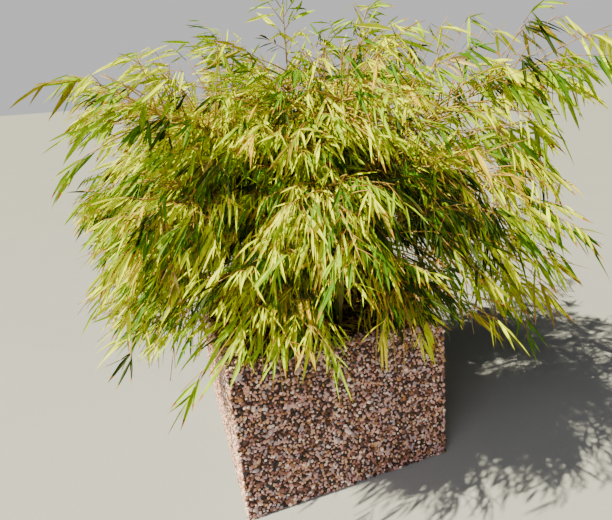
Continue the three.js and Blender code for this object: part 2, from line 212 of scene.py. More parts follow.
# Where the lamps stand, their colours, how wide the fill light is, and half the floor's side
KEY_PLACE = (-3.2, 0.0, 5.0)
KEY_COLOUR = (1.0, 0.94, 0.58)
FILL_PLACE = (-2.4, -3.2, 4.0)
FILL_COLOUR = (1.0, 0.97, 0.88)
FILL_SIZE = 3.0
FLOOR_HALF = 90.0

# How many sine waves an octave of a ripple adds up, and what their sum is divided by
RIPPLE_WAVES = 8
RIPPLE_SUM = 2.8


def lerp(start, end, share):
    """The point at a share of the way from start to end."""
    return start + (end - start) * share


def unit(vectors):
    """Each vector divided by its own length."""
    return vectors / np.maximum(np.linalg.norm(vectors, axis=-1, keepdims=True), 1e-9)


def smooth_step(low, high, value):
    """0 below low, 1 above high, and a smooth climb of 3t^2 - 2t^3 between them."""
    t = np.clip((value - low) / (high - low), 0, 1)
    return t * t * (3 - 2 * t)


def ripple(points, wavelength, seed, octaves=3):
    """A smooth uneven height for each point, from about -1 to 1: in each octave the sum of eight
    sine waves in random directions, over what such a sum comes to. Each octave is half as long and
    half as high as the one before."""
    rng = np.random.default_rng(seed)
    height = np.zeros(points.shape[:-1])
    for octave in range(octaves):
        waves = unit(rng.normal(size=(RIPPLE_WAVES, 3))) * (2 * math.pi * 2**octave / wavelength)
        phases = rng.uniform(0, 2 * math.pi, RIPPLE_WAVES)
        height += np.sin(points @ waves.T + phases).sum(axis=-1) / (RIPPLE_SUM * 2**octave)
    return height


def mesh_piece(name, points, triangles, materials, material_index=None, uv=None, smooth=True):
    """A new mesh object from points (n, 3) and triangles (m, 3), with a material for each triangle
    and a place on the UV map for each point."""
    mesh = bpy.data.meshes.new(name)
    corners = np.ascontiguousarray(triangles, dtype=np.int32).ravel()
    mesh.vertices.add(len(points))
    mesh.vertices.foreach_set("co", np.asarray(points, dtype=np.float32).ravel())
    mesh.loops.add(len(corners))
    mesh.loops.foreach_set("vertex_index", corners)
    mesh.polygons.add(len(triangles))
    mesh.polygons.foreach_set("loop_start", np.arange(0, len(corners), 3, dtype=np.int32))
    if material_index is not None:
        mesh.polygons.foreach_set("material_index", np.asarray(material_index, dtype=np.int32))
    mesh.polygons.foreach_set("use_smooth", np.full(len(triangles), smooth))
    if uv is not None:
        layer = mesh.uv_layers.new(name="UVMap")
        layer.data.foreach_set("uv", np.asarray(uv, dtype=np.float32)[corners].ravel())
    for material in materials:
        mesh.materials.append(material)
    mesh.update(calc_edges=True)
    mesh.validate()
    piece = bpy.data.objects.new(name, mesh)
    bpy.context.scene.collection.objects.link(piece)
    return piece


def settle(piece, replaced=()):
    """The piece rides on the one body and stands for the named nodes, which are hidden."""
    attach(piece, "root")
    if replaced:
        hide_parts(*replaced)


def repeated(pattern, count, size):
    """The index pattern of one shape repeated for count shapes of size points each."""
    offsets = np.arange(count)[:, None, None] * size
    return (np.asarray(pattern)[None] + offsets).reshape(-1, 3)


def grid_triangles(rows, columns, closed):
    """Two triangles for each cell of a grid of points, wrapped round its columns if closed."""
    row = np.arange(rows - 1)[:, None]
    column = np.arange(columns if closed else columns - 1)[None]
    beside = (column + 1) % columns
    here, right = row * columns + column, row * columns + beside
    above, across = here + columns, right + columns
    return np.concatenate((
        np.stack((here, right, across), -1).reshape(-1, 3),
        np.stack((here, across, above), -1).reshape(-1, 3),
    ))


def tube_pattern(steps, sides):
    """The triangles of one closed tube: its rings joined side by side, and a fan over each end."""
    wall = grid_triangles(steps, sides, closed=True)
    turn = np.arange(1, sides - 1)
    last = (steps - 1) * sides
    foot = np.stack((np.zeros_like(turn), turn + 1, turn), -1)
    end = np.stack((np.full_like(turn, last), last + turn, last + turn + 1), -1)
    return np.concatenate((wall, foot, end))


def tubes(paths, radii, sides, reference):
    """Tapering tubes along paths (n, steps, 3): round each point a ring of corners at the radius
    times the cosine and sine of evenly spaced angles, across and along the path's own frame.
    Returns points, triangles and a UV place for each point: round the tube and along it."""
    count, steps = paths.shape[:2]
    heading = unit(np.gradient(paths, axis=1))
    across = unit(reference - heading * (reference * heading).sum(-1, keepdims=True))
    along = np.cross(heading, across)
    angle = np.arange(sides) * 2 * math.pi / sides
    ring = (across[:, :, None] * np.cos(angle)[:, None] + along[:, :, None] * np.sin(angle)[:, None])
    points = paths[:, :, None] + ring * radii[:, :, None, None]
    around = np.broadcast_to(np.arange(sides) / sides, (count, steps, sides))
    travelled = np.cumsum(np.linalg.norm(np.diff(paths, axis=1, prepend=paths[:, :1]), axis=-1), 1)
    onward = np.broadcast_to(travelled[:, :, None], (count, steps, sides))
    uv = np.stack((around, onward), -1).reshape(-1, 2)
    triangles = repeated(tube_pattern(steps, sides), count, steps * sides)
    return points.reshape(-1, 3), triangles, uv


def joined(*shapes):
    """Shapes given as (points, triangles, uv) made one, with the number of each triangle's shape."""
    offsets = np.cumsum([0] + [len(shape[0]) for shape in shapes[:-1]])
    points = np.concatenate([shape[0] for shape in shapes])
    triangles = np.concatenate([shape[1] + offset for shape, offset in zip(shapes, offsets)])
    uv = np.concatenate([shape[2] for shape in shapes])
    which = np.concatenate([np.full(len(shape[1]), n) for n, shape in enumerate(shapes)])
    return points, triangles, uv, which


# Shader groups and materials

def shader_group(name, inputs, outputs):
    """A new shader node group with its sockets, and its input and output nodes."""
    group = bpy.data.node_groups.new(name, "ShaderNodeTree")
    for label, kind, default in inputs:
        socket = group.interface.new_socket(name=label, in_out="INPUT", socket_type=kind)
        socket.default_value = default
    for label, kind in outputs:
        group.interface.new_socket(name=label, in_out="OUTPUT", socket_type=kind)
    return group, group.nodes.new("NodeGroupInput"), group.nodes.new("NodeGroupOutput")


def add_node(tree, kind, options=None, inputs=None):
    """A new node with its options set, and each input either linked to a socket or set."""
    node = tree.nodes.new(kind)
    for name, value in (options or {}).items():
        setattr(node, name, value)
    for name, value in (inputs or {}).items():
        if isinstance(value, bpy.types.NodeSocket):
            tree.links.new(value, node.inputs[name])
        else:
            node.inputs[name].default_value = value
    return node


def maths(tree, operation, first, second=0.0, clamp=False):
    """The result socket of one Math node."""
    options = {"operation": operation, "use_clamp": clamp}
    return add_node(tree, "ShaderNodeMath", options, {0: first, 1: second}).outputs[0]


def ranged(tree, value, low, high, to_low, to_high):
    """The result socket of a smooth Map Range node."""
    inputs = {"Value": value, "From Min": low, "From Max": high, "To Min": to_low, "To Max": to_high}
    options = {"interpolation_type": "SMOOTHSTEP"}
    return add_node(tree, "ShaderNodeMapRange", options, inputs).outputs["Result"]


def noise(tree, scale, detail=3.0, stretch=(1.0, 1.0, 1.0)):
    """The height socket of a noise on Object coordinates, from about 0.3 to 0.7."""
    place = add_node(tree, "ShaderNodeTexCoord").outputs["Object"]
    placed = add_node(tree, "ShaderNodeMapping", None, {"Vector": place, "Scale": stretch})
    inputs = {"Vector": placed.outputs["Vector"], "Scale": scale, "Detail": detail}
    return add_node(tree, "ShaderNodeTexNoise", None, inputs).outputs["Fac"]


def mixed_colour(tree, factor, first, second, blend="MIX"):
    """The colour socket of a Mix Color node."""
    options = {"data_type": "RGBA", "blend_type": blend}
    return add_node(tree, "ShaderNodeMix", options, {0: factor, 6: first, 7: second}).outputs[2]


def dimmed(tree, colour, strength):
    """A colour multiplied by a strength socket."""
    grey = add_node(tree, "ShaderNodeCombineColor", None, {0: strength, 1: strength, 2: strength})
    return mixed_colour(tree, 1.0, colour, grey.outputs[0], "MULTIPLY")


FINISH = [("Colour", "NodeSocketColor"), ("Height", "NodeSocketFloat")]

# Off a leaf's middle, the shares of its width between which the rib fades, the share of its length
# from which the tip fades, and the waves of its veins
RIB_EDGES = (0.02, 0.09)
TIP_EDGES = (0.8, 1.0)
VEIN_WAVES = 70.0


def leaf_group():
    """Blade colour, uneven by a noise, with a paler rib along the middle, fine veins beside it, and
    a tip that fades to the tip colour. The blade's own UV map runs across it and along it."""
    group, given, result = shader_group(
        "leaf blade",
        [("Blade", "NodeSocketColor", (0.3, 0.5, 0.1, 1)), ("Rib", "NodeSocketColor", (0.6, 0.7, 0.3, 1)),
         ("Tip", "NodeSocketColor", (0.6, 0.5, 0.2, 1)), ("Uneven", "NodeSocketFloat", 0.2)],
        FINISH,
    )
    place = add_node(group, "ShaderNodeUVMap", {"uv_map": "UVMap"}).outputs["UV"]
    split = add_node(group, "ShaderNodeSeparateXYZ", None, {"Vector": place})
    across, along = split.outputs["X"], split.outputs["Y"]
    off_middle = maths(group, "ABSOLUTE", maths(group, "SUBTRACT", across, 0.5))
    rib = ranged(group, off_middle, *RIB_EDGES, 0.55, 0.0)
    veins = maths(group, "SINE", maths(group, "MULTIPLY", across, VEIN_WAVES))
    swing = maths(group, "SUBTRACT", noise(group, 30.0), 0.5)
    swing = maths(group, "MULTIPLY", swing, given.outputs["Uneven"])
    strength = maths(group, "ADD", maths(group, "MULTIPLY", swing, 3.0), 1.0)
    strength = maths(group, "ADD", strength, maths(group, "MULTIPLY", veins, 0.04))
    blade = dimmed(group, given.outputs["Blade"], strength)
    ribbed = mixed_colour(group, rib, blade, given.outputs["Rib"])
    fading = ranged(group, along, *TIP_EDGES, 0.0, 0.7)
    faded = mixed_colour(group, fading, ribbed, given.outputs["Tip"])
    height = maths(group, "ADD", maths(group, "MULTIPLY", veins, 0.3), rib)
    group.links.new(faded, result.inputs["Colour"])
    group.links.new(height, result.inputs["Height"])
    return group


def cane_group():
    """Cane colour with fibres drawn out along the culm, paler patches and darker weathering."""
    group, given, result = shader_group(
        "cane skin",
        [("Cane", "NodeSocketColor", (0.5, 0.45, 0.2, 1)),
         ("Weathered", "NodeSocketColor", (0.3, 0.2, 0.1, 1))],
        FINISH,
    )
    fibres = noise(group, 160.0, 4.0, (1.0, 1.0, 0.08))
    patches = noise(group, 14.0, 2.0)
    strength = maths(group, "ADD", fibres, 0.5)
    cane = dimmed(group, given.outputs["Cane"], strength)
    weathering = ranged(group, patches, 0.5, 0.68, 0.0, 0.65)
    worn = mixed_colour(group, weathering, cane, given.outputs["Weathered"])
    group.links.new(worn, result.inputs["Colour"])
    group.links.new(fibres, result.inputs["Height"])
    return group


def mineral_group():
    """Stone colour with a coarse mottle and a fine grain, and the grain as height."""
    group, given, result = shader_group(
        "mineral",
        [("Stone", "NodeSocketColor", (0.4, 0.3, 0.25, 1)), ("Coarse", "NodeSocketFloat", 60.0),
         ("Fine", "NodeSocketFloat", 500.0), ("Uneven", "NodeSocketFloat", 1.0)],
        FINISH,
    )
    place = add_node(group, "ShaderNodeTexCoord").outputs["Object"]
    fields = []
    for label in ("Coarse", "Fine"):
        inputs = {"Vector": place, "Scale": given.outputs[label], "Detail": 3.0}
        fields.append(add_node(group, "ShaderNodeTexNoise", None, inputs).outputs["Fac"])
    both = maths(group, "SUBTRACT", maths(group, "ADD", *fields), 1.0)
    strength = maths(group, "ADD", maths(group, "MULTIPLY", both, given.outputs["Uneven"]), 1.0)
    group.links.new(dimmed(group, given.outputs["Stone"], strength), result.inputs["Colour"])
    group.links.new(fields[1], result.inputs["Height"])
    return group


def shared_group(name, build):
    """The shader group of that name, built the first time it is asked for."""
    return bpy.data.node_groups.get(name) or build()


def surface(name, group, values, roughness, bump, gloss=0.5, translucent=0.0):
    """A material whose colour and relief come from a shader group with its own values. A share of
    the light may pass through, as it does through a leaf."""
    material = bpy.data.materials.new(name)
    material.use_nodes = True
    tree = material.node_tree
    shader = tree.nodes["Principled BSDF"]
    shader.inputs["Roughness"].default_value = roughness
    shader.inputs["Specular IOR Level"].default_value = gloss
    skin = add_node(tree, "ShaderNodeGroup", {"node_tree": group}, values)
    tree.links.new(skin.outputs["Colour"], shader.inputs["Base Color"])
    relief = add_node(tree, "ShaderNodeBump", None, {"Height": skin.outputs["Height"], "Distance": bump})
    relief.inputs["Strength"].default_value = 0.6
    tree.links.new(relief.outputs["Normal"], shader.inputs["Normal"])
    if translucent:
        glow = add_node(tree, "ShaderNodeBsdfTranslucent", None, {"Color": skin.outputs["Colour"]})
        both = add_node(tree, "ShaderNodeMixShader", None, {0: translucent})
        tree.links.new(shader.outputs[0], both.inputs[1])
        tree.links.new(glow.outputs[0], both.inputs[2])
        tree.links.new(both.outputs[0], tree.nodes["Material Output"].inputs["Surface"])
    return material


def opaque(colour):
    """A colour with full alpha."""
    return (*colour, 1.0)


# The planter

def rounded_loop(half_x, half_y, radius, sides=(64, 80), corner_steps=4):
    """The points round a rectangle with round corners: four quarter circles of the radius, each
    followed by a straight side cut into even steps. Runs anticlockwise seen from above."""
    loop = []
    for corner, (sign_x, sign_y) in enumerate(((1, -1), (1, 1), (-1, 1), (-1, -1))):
        turn = (corner - 1 + np.linspace(0, 1, corner_steps)) * math.pi / 2
        arc = np.stack((np.cos(turn), np.sin(turn)), -1) * radius
        loop.append(arc + (sign_x * (half_x - radius), sign_y * (half_y - radius)))
        if corner % 2:
            steps, stop = sides[0], (-sign_x * (half_x - radius), sign_y * half_y)
        else:
            steps, stop = sides[1], (sign_x * half_x, -sign_y * (half_y - radius))
        share = np.linspace(0, 1, steps + 1)[1:-1, None]
        loop.append(lerp(loop[-1][-1], np.array(stop), share))
    return np.concatenate(loop)


def lofted(loops):
    """Points and triangles of a closed body: loops of equal size joined one to the next, with a fan
    from the middle of the first and the last loop."""
    rows, around = loops.shape[:2]
    points = np.concatenate((loops.reshape(-1, 3), loops[:1].mean(1), loops[-1:].mean(1)))
    here = np.arange(around)
    beside = (here + 1) % around
    first, last = rows * around, rows * around + 1
    foot = np.stack((np.full(around, first), beside, here), -1)
    end = np.stack((np.full(around, last), here + last - 1 - around, beside + last - 1 - around), -1)
    return points, np.concatenate((grid_triangles(rows, around, closed=True), foot, end))


def loop_normals(loops):
    """The outward normal at each point of stacked loops: along a loop crossed with across them."""
    along = np.roll(loops, -1, axis=1) - np.roll(loops, 1, axis=1)
    return unit(np.cross(along, np.gradient(loops, axis=0)))


# The rows of the mortar shell, the fine ones down to just below the soil
OUTSIDE_ROWS, RIM_ROWS, INSIDE_ROWS = 52, 5, 7
BELOW_SOIL = 0.02
HALF_WAY_DOWN = 0.3


def mortar_loops(settings):
    """The planter's profile, from the edge of its underside up the outside, over the rim and down
    the inside to the floor, each row a rounded rectangle. The outside stands back by the pebbles'
    relief, and every row but the underside's and the last three is moved along its normal by a
    ripple."""
    back = settings.pebble_relief
    half = PLANTER_HIGH[:2] - back
    inner = SOIL_HIGH[:2] + CONTACT_GAP
    top = PLANTER_HIGH[2] - back
    outside = np.linspace(EDGE_BEVEL, top - EDGE_BEVEL, OUTSIDE_ROWS)
    insets = np.linspace(EDGE_BEVEL, WALL - back - EDGE_BEVEL, RIM_ROWS)
    inside = np.linspace(top - EDGE_BEVEL, SOIL_HIGH[2] - BELOW_SOIL, INSIDE_ROWS)
    rows = [(half - EDGE_BEVEL, 0.0)]
    rows += [(half, height) for height in outside]
    rows += [(half - inset, top) for inset in insets]
    rows += [(inner, height) for height in (*inside, HALF_WAY_DOWN, SOIL_LOW[2])]
    flat = [rounded_loop(half_x, half_y, CORNER_RADIUS) for (half_x, half_y), _ in rows]
    loops = np.stack([
        np.concatenate((loop, np.full((len(loop), 1), height)), -1)
        for loop, (_, height) in zip(flat, rows)
    ])
    rough = ripple(loops, 0.03, seed=11) * settings.mortar_roughness
    rough[0] = 0
    rough[-3:] = 0
    return loops + loop_normals(loops) * rough[..., None]


# A round stone is a twenty-faced ball: its corners are the cyclic turns of (0, 1, golden ratio)
GOLDEN_RATIO = (1 + math.sqrt(5)) / 2
BALL_POINTS = unit(np.array([
    np.roll((0.0, first, second * GOLDEN_RATIO), turn)
    for turn in range(3) for first in (-1, 1) for second in (-1, 1)
]))


# On a ball of radius 1 an edge is 1.05 long, and the corners that no edge joins are over 1.7 apart
LONGEST_EDGE = 1.2

# A stone's half length and half width as shares of its size, and its half height as one of the relief
STONE_HALVES = ((0.44, 0.6), (0.32, 0.46), (0.7, 1.25))
STONE_SIZE_SPREAD = (-0.06, 0.24)
STONE_CORNER_DRAW = (0.8, 1.12)
STONE_SHIFT = 0.33
STONE_MARGIN = 0.002


def ball_triangles():
    """Every three corners of the ball that are one edge apart, turned to face outwards."""
    apart = np.linalg.norm(BALL_POINTS[:, None] - BALL_POINTS[None], axis=-1)
    near = apart < LONGEST_EDGE
    faces = np.array([
        (a, b, c) for a, b, c in combinations(range(len(BALL_POINTS)), 3)
        if near[a, b] and near[b, c] and near[a, c]
    ])
    a, b, c = (BALL_POINTS[faces[:, corner]] for corner in range(3))
    inward = (np.cross(b - a, c - a) * a).sum(-1) < 0
    faces[inward] = faces[inward][:, ::-1]
    return faces


def scattered(length, height, pitch, rng):
    """Places on a flat face: rows of a honeycomb, each place moved aside by up to a third of the
    pitch, so that no two stones stand alike."""
    rows = np.arange(pitch / 2, height, pitch * math.sqrt(3) / 2)
    columns = np.arange(pitch / 2, length, pitch)
    u, v = np.meshgrid(columns, rows)
    u = u + (np.arange(len(rows)) % 2)[:, None] * pitch / 2
    places = np.stack((u, v), -1).reshape(-1, 2)
    places += rng.uniform(-STONE_SHIFT, STONE_SHIFT, places.shape) * pitch
    end = np.array((length, height)) - STONE_MARGIN
    return places[((places > STONE_MARGIN) & (places < end)).all(-1)]


def stones(centres, normals, length, relief, rng):
    """Flattened balls: each corner is the ball's corner times its own uneven radius and the stone's
    three half sizes, turned by a random angle about the face's normal and sunk in the mortar."""
    count = len(centres)
    helper = np.where(np.abs(normals[:, 2:]) > 0.9, (1.0, 0.0, 0.0), UP)
    across = unit(np.cross(helper, normals))
    along = np.cross(normals, across)
    turn = rng.uniform(0, 2 * math.pi, (count, 1))
    first = across * np.cos(turn) + along * np.sin(turn)
    second = np.cross(normals, first)
    size = length * rng.lognormal(*STONE_SIZE_SPREAD, (count, 1))
    halves = np.concatenate([
        measure * rng.uniform(*draw, (count, 1)) for measure, draw in zip((size, size, relief), STONE_HALVES)
    ], -1)
    uneven = rng.uniform(*STONE_CORNER_DRAW, (count, len(BALL_POINTS), 1))
    local = BALL_POINTS[None] * uneven * halves[:, None]
    frames = np.stack((first, second, normals), 1)
    points = (centres[:, None] + local @ frames).reshape(-1, 3)
    points[:, 2] = np.maximum(points[:, 2], 0.0)
    return points


def wall_faces():
    """Each face that shows stones: its name, a corner, its two edges and its outward normal."""
    (x, y), top = PLANTER_HIGH[:2], PLANTER_HIGH[2]
    wide, deep = np.array((2 * x, 0, 0)), np.array((0, 2 * y, 0))
    tall, rim = np.array((0, 0, top)), WALL - EDGE_BEVEL / 2
    return [
        ("front", (-x, -y, 0), wide, tall, (0, -1, 0)),
        ("back", (x, y, 0), -wide, tall, (0, 1, 0)),
        ("right", (x, -y, 0), deep, tall, (1, 0, 0)),
        ("left", (-x, y, 0), -deep, tall, (-1, 0, 0)),
        ("rim", (-x, -y, top), wide, np.array((0, rim, 0)), (0, 0, 1)),
        ("rim", (-x, y - rim, top), wide, np.array((0, rim, 0)), (0, 0, 1)),
        ("rim", (-x, rim - y, top), np.array((rim, 0, 0)), deep - (0, 2 * rim, 0), (0, 0, 1)),
        ("rim", (x - rim, rim - y, top), np.array((rim, 0, 0)), deep - (0, 2 * rim, 0), (0, 0, 1)),
    ]


# The share of the stones that are of each sort
STONE_SHARES = {
    "pink": 0.2, "brown": 0.18, "tan": 0.13, "grey": 0.16,
    "pale": 0.08, "umber": 0.13, "black": 0.06, "rust": 0.06,
}


def stone_materials(settings):
    """A finish for each sort of stone, in the order of STONE_SHARES."""
    group = shared_group("mineral", mineral_group)
    materials = []
    for name in STONE_SHARES:
        values = {"Stone": opaque(getattr(settings, f"stone_{name}")), "Uneven": 1.2}
        materials.append(surface(f"pebble {name}", group, values, roughness=0.62, bump=0.0006))
    return materials


# The growth of the bamboo

def outline_reach(ring, angle):
    """How far a ring's tips reach at an angle: (|cos|/half x)^p + (|sin|/half y)^p to the -1/p."""
    half_x = np.where(np.cos(angle) > 0, ring["right"], ring["left"])
    half_y = np.where(np.sin(angle) > 0, ring["back"], ring["front"])
    along_x = np.abs(np.cos(angle) / half_x) ** OUTLINE_POWER
    along_y = np.abs(np.sin(angle) / half_y) ** OUTLINE_POWER
    return (along_x + along_y) ** (-1 / OUTLINE_POWER)


def culm_curves(ring):
    """The four control points of each culm of a ring: its foot on the soil, a point above the foot
    that leans outwards, a point a run back from the tip and a fall above it, and the tip. Returns
    them with each culm's direction outwards."""
    angle = 2 * math.pi * (np.arange(ring["culms"]) + ring["turn"]) / ring["culms"]
    out = np.stack((np.cos(angle), np.sin(angle), np.zeros_like(angle)), -1)
    foot = CLUMP_CENTRE + CLUMP_HALF * out * ring["foot"]
    tip = CLUMP_CENTRE + out * outline_reach(ring, angle)[:, None]
    tip[:, 2] = ring["height"]
    above = foot + UP * ring["rise"] + out * ring["lean"]
    before = tip - out * ring["run"] + UP * ring["fall"]
    return np.stack((foot, above, before, tip), 1), out


def curve_points(curves, share):
    """Points of cubic curves (n, 4, 3) at shares (n, m): the four controls weighted by (1-t)^3,
    3t(1-t)^2, 3t^2(1-t) and t^3."""
    t = share[..., None]
    weights = ((1 - t) ** 3, 3 * t * (1 - t) ** 2, 3 * t**2 * (1 - t), t**3)
    return sum(weight * curves[:, None, n] for n, weight in enumerate(weights))


def curve_headings(curves, share):
    """Directions of cubic curves at shares: the differences of the controls weighted by (1-t)^2,
    2t(1-t) and t^2."""
    t = share[..., None]
    steps = np.diff(curves, axis=1)
    weights = ((1 - t) ** 2, 2 * t * (1 - t), t**2)
    return unit(sum(weight * steps[:, None, n] for n, weight in enumerate(weights)))


def even_shares(curves, distances):
    """The shares of each curve at which the distances along it, from 0 to 1, are reached."""
    fine = np.broadcast_to(np.linspace(0, 1, 200), (len(curves), 200))
    places = curve_points(curves, fine)
    travelled = np.cumsum(np.linalg.norm(np.diff(places, axis=1, prepend=places[:, :1]), axis=-1), 1)
    travelled /= travelled[:, -1:]
    return np.stack([np.interp(distances, row, fine[0]) for row in travelled])


def turned(vectors, axes, angle):
    """Vectors square to their axes, turned round them by an angle."""
    angle = np.asarray(angle)[..., None]
    return vectors * np.cos(angle) + np.cross(axes, vectors) * np.sin(angle)


def bent_paths(root, start, length, sweep, steps):
    """Paths that leave their roots along start and bend away from it: at each share of the way
    root + length (start way + sweep way^2)."""
    way = np.linspace(0, 1, steps + 1)[:, None]
    run = length[..., None, None]
    path = root[..., None, :] + run * (start[..., None, :] * way + sweep[..., None, :] * way**2)
    return path.reshape(-1, steps + 1, 3)


def grow_branches(ring, chosen, rng):
    """The branches of a ring's chosen culms. At each node three leave the culm, turned by the
    golden angle from node to node and a third of a turn from each other, and one more carries on
    from the culm's tip. They are longer on the right. Returns their paths, each one's direction out
    from the clump, and which of them carry on from a tip."""
    curves, out = (part[chosen] for part in culm_curves(ring))
    culms, nodes = len(curves), ring["nodes"]
    along = (np.arange(nodes) + FIRST_NODE) / nodes
    share = np.broadcast_to(lerp(ring["leafy"], 1.0, along), (culms, nodes))
    share = np.clip(share + rng.uniform(*NODE_SHIFT_DRAW, share.shape), 0, CULM_END)
    shape = (culms, nodes, BRANCHES_PER_NODE)
    root = np.broadcast_to(curve_points(curves, share)[:, :, None], (*shape, 3))
    heading = np.broadcast_to(curve_headings(curves, share)[:, :, None], (*shape, 3))
    sideways = np.cross(UP, out)[:, None, None]
    level = unit(sideways - heading * (sideways * heading).sum(-1, keepdims=True))
    turn = GOLDEN_ANGLE * (np.arange(nodes)[None, :, None] + chosen[:, None, None])
    fork = np.arange(BRANCHES_PER_NODE) * 2 * math.pi / BRANCHES_PER_NODE
    turn = turn + fork + rng.uniform(*BRANCH_TURN_DRAW, shape)
    side = turned(level, heading, turn)
    angle = (BRANCH_ANGLE * rng.uniform(*BRANCH_ANGLE_DRAW, shape))[..., None]
    start = unit(heading * np.cos(angle) + side * np.sin(angle) - UP * ring["sag"])
    length = lerp(ring["first"], ring["last"], along)[None, :, None]
    length = length * rng.uniform(*BRANCH_LENGTH_DRAW, shape)
    length = length * lerp(1.0, LONGER_RIGHT, np.maximum(out[:, 0], 0))[:, None, None]
    sweep = out * BRANCH_OUT - UP * (BRANCH_DOWN + BRANCH_HANG * ring["hang"])
    spread = np.broadcast_to(sweep[:, None, None], (*shape, 3))
    branches = bent_paths(root, start, length, spread, BRANCH_STEPS)
    end = np.full((culms, 1), 1.0)
    onward = unit(curve_headings(curves, end)[:, 0] - UP * ring["sag"])
    length = ring["tip"] * lerp(1.0, LONGER_RIGHT, out[:, 0]) * rng.uniform(*ONWARD_LENGTH_DRAW, culms)
    tips = bent_paths(curves[:, 3], onward, length, sweep, BRANCH_STEPS)
    directions = np.concatenate((np.repeat(out, nodes * BRANCHES_PER_NODE, axis=0), out))
    paths = np.concatenate((branches, tips))
    return paths, directions, np.arange(len(paths)) >= len(branches)


def path_at(paths, share):
    """Points and directions on stepped paths (n, steps, 3) at shares (n, m), straight between the
    steps."""
    steps = paths.shape[1] - 1
    place = np.clip(share * steps, 0, steps - 1e-6)
    whole = place.astype(int)
    part = (place - whole)[..., None]
    row = np.arange(len(paths))[:, None]
    before, after = paths[row, whole], paths[row, whole + 1]
    return lerp(before, after, part), unit(after - before)


def grow_twigs(branches, out, leading, ring, rng):
    """The twigs of each branch: they leave it by turns to the left and the right, the last one
    carries on from its end, and each sinks by the square of the way. Past the thick of the crown
    and in its hollow ever more of them are left out, but not on a culm's own tip, and so are those
    that end below the ragged fringe. Returns their paths, their directions out from the clump, how
    far out in the crown each one ends, and a share from 0 in the hollow to 1 well clear of it, by
    which the hollow's leaves are given painted shade."""
    count = len(branches)
    share = np.broadcast_to((np.arange(TWIGS_PER_BRANCH) + 1) / TWIGS_PER_BRANCH, (count, TWIGS_PER_BRANCH))
    root, heading = path_at(branches, share)
    level = unit(np.cross(heading, UP))
    side = turned(level, heading, rng.uniform(*TWIG_ROLL_DRAW, share.shape))
    side = side * np.where(np.arange(TWIGS_PER_BRANCH) % 2, 1, -1)[:, None]
    angle = (TWIG_ANGLE * rng.uniform(*TWIG_ANGLE_DRAW, share.shape))[..., None]
    angle[:, -1] *= LAST_TWIG_SPLAY
    start = unit(heading * np.cos(angle) + side * np.sin(angle))
    length = rng.uniform(*TWIG_LENGTH_DRAW, share.shape)
    sweep = np.broadcast_to((out * TWIG_OUT - UP * TWIG_HANG * ring["hang"])[:, None], start.shape)
    twigs = bent_paths(root, start, length, sweep, TWIG_STEPS)
    out = np.repeat(out, TWIGS_PER_BRANCH, axis=0)
    end = twigs[:, -1]
    depth = np.linalg.norm((end - CROWN_MIDDLE) / CROWN_HALVES, axis=-1)
    off_hollow = np.linalg.norm((end - HOLLOW_MIDDLE) / HOLLOW_HALVES, axis=-1)
    thick = lerp(1.0, OPEN_SHARE, smooth_step(*OPEN_EDGES, depth))
    thick *= lerp(HOLLOW_SHARE, 1.0, smooth_step(*HOLLOW_EDGES, off_hollow))
    kept = (rng.uniform(0, 1, len(twigs)) < thick) | np.repeat(leading, TWIGS_PER_BRANCH)
    fringe = np.interp(end[:, 0], FRINGE_PLACES, FRINGE_HEIGHTS)
    fringe = fringe + rng.normal(0, FRINGE_SPREAD, len(twigs))
    kept &= in_reach(twigs) & (end[:, 2] > fringe)
    return twigs[kept], out[kept], depth[kept], smooth_step(*SHADE_EDGES, off_hollow)[kept]


# Across a leaf's rows: its half width as a share of the widest, from its base to near its tip
LEAF_ROWS = np.array((0.1, 0.4, 0.76))
LEAF_SWELL = np.array((0.52, 1.0, 0.6))
LEAF_POINTS = 3 * len(LEAF_ROWS) + 2


def leaf_pattern():
    """The triangles of one leaf, all turned upwards: two at its base, four between each two rows,
    two at its tip."""
    rows = len(LEAF_ROWS)
    tip = LEAF_POINTS - 1
    base = [(0, 1, 2), (0, 2, 3)]
    wall = grid_triangles(rows, 3, closed=False)[:, ::-1] + 1
    last = 3 * (rows - 1) + 1
    end = [(last, tip, last + 1), (last + 1, tip, last + 2)]
    return np.concatenate((base, wall, end))


def leaf_blades(root, heading, across, length, width, droop, twist, fold):
    """Leaf blades. The middle line runs along the heading and sinks by the droop times the square
    of the way. Each row's two edges stand half a width to the sides, turned by the twist on the way
    and raised by the fold. Returns the points and the UV places of each leaf."""
    way = np.concatenate(([0.0], LEAF_ROWS, [1.0]))
    middle = root[:, None] + length[:, None, None] * (
        heading[:, None] * way[:, None] - UP * droop[:, None, None] * way[:, None] ** 2)
    tangent = unit(heading[:, None] - 2 * UP * droop[:, None, None] * way[:, None])
    level = unit(across[:, None] - tangent * (across[:, None] * tangent).sum(-1, keepdims=True))
    edge = turned(level, tangent, twist[:, None] * way)
    above = np.cross(tangent, edge)
    half = (width[:, None] / 2 * LEAF_SWELL)[..., None]
    rows = slice(1, -1)
    lift = above[:, rows] * half * fold[:, None, None]
    left = middle[:, rows] - edge[:, rows] * half + lift
    right = middle[:, rows] + edge[:, rows] * half + lift
    body = np.stack((left, middle[:, rows], right), 2).reshape(len(root), -1, 3)
    points = np.concatenate((middle[:, :1], body, middle[:, -1:]), 1)
    u = np.concatenate(([0.5], np.tile((0.0, 0.5, 1.0), len(LEAF_ROWS)), [0.5]))
    v = np.concatenate(([0.0], np.repeat(LEAF_ROWS, 3), [1.0]))
    return points, np.broadcast_to(np.stack((u, v), -1), (len(root), LEAF_POINTS, 2))


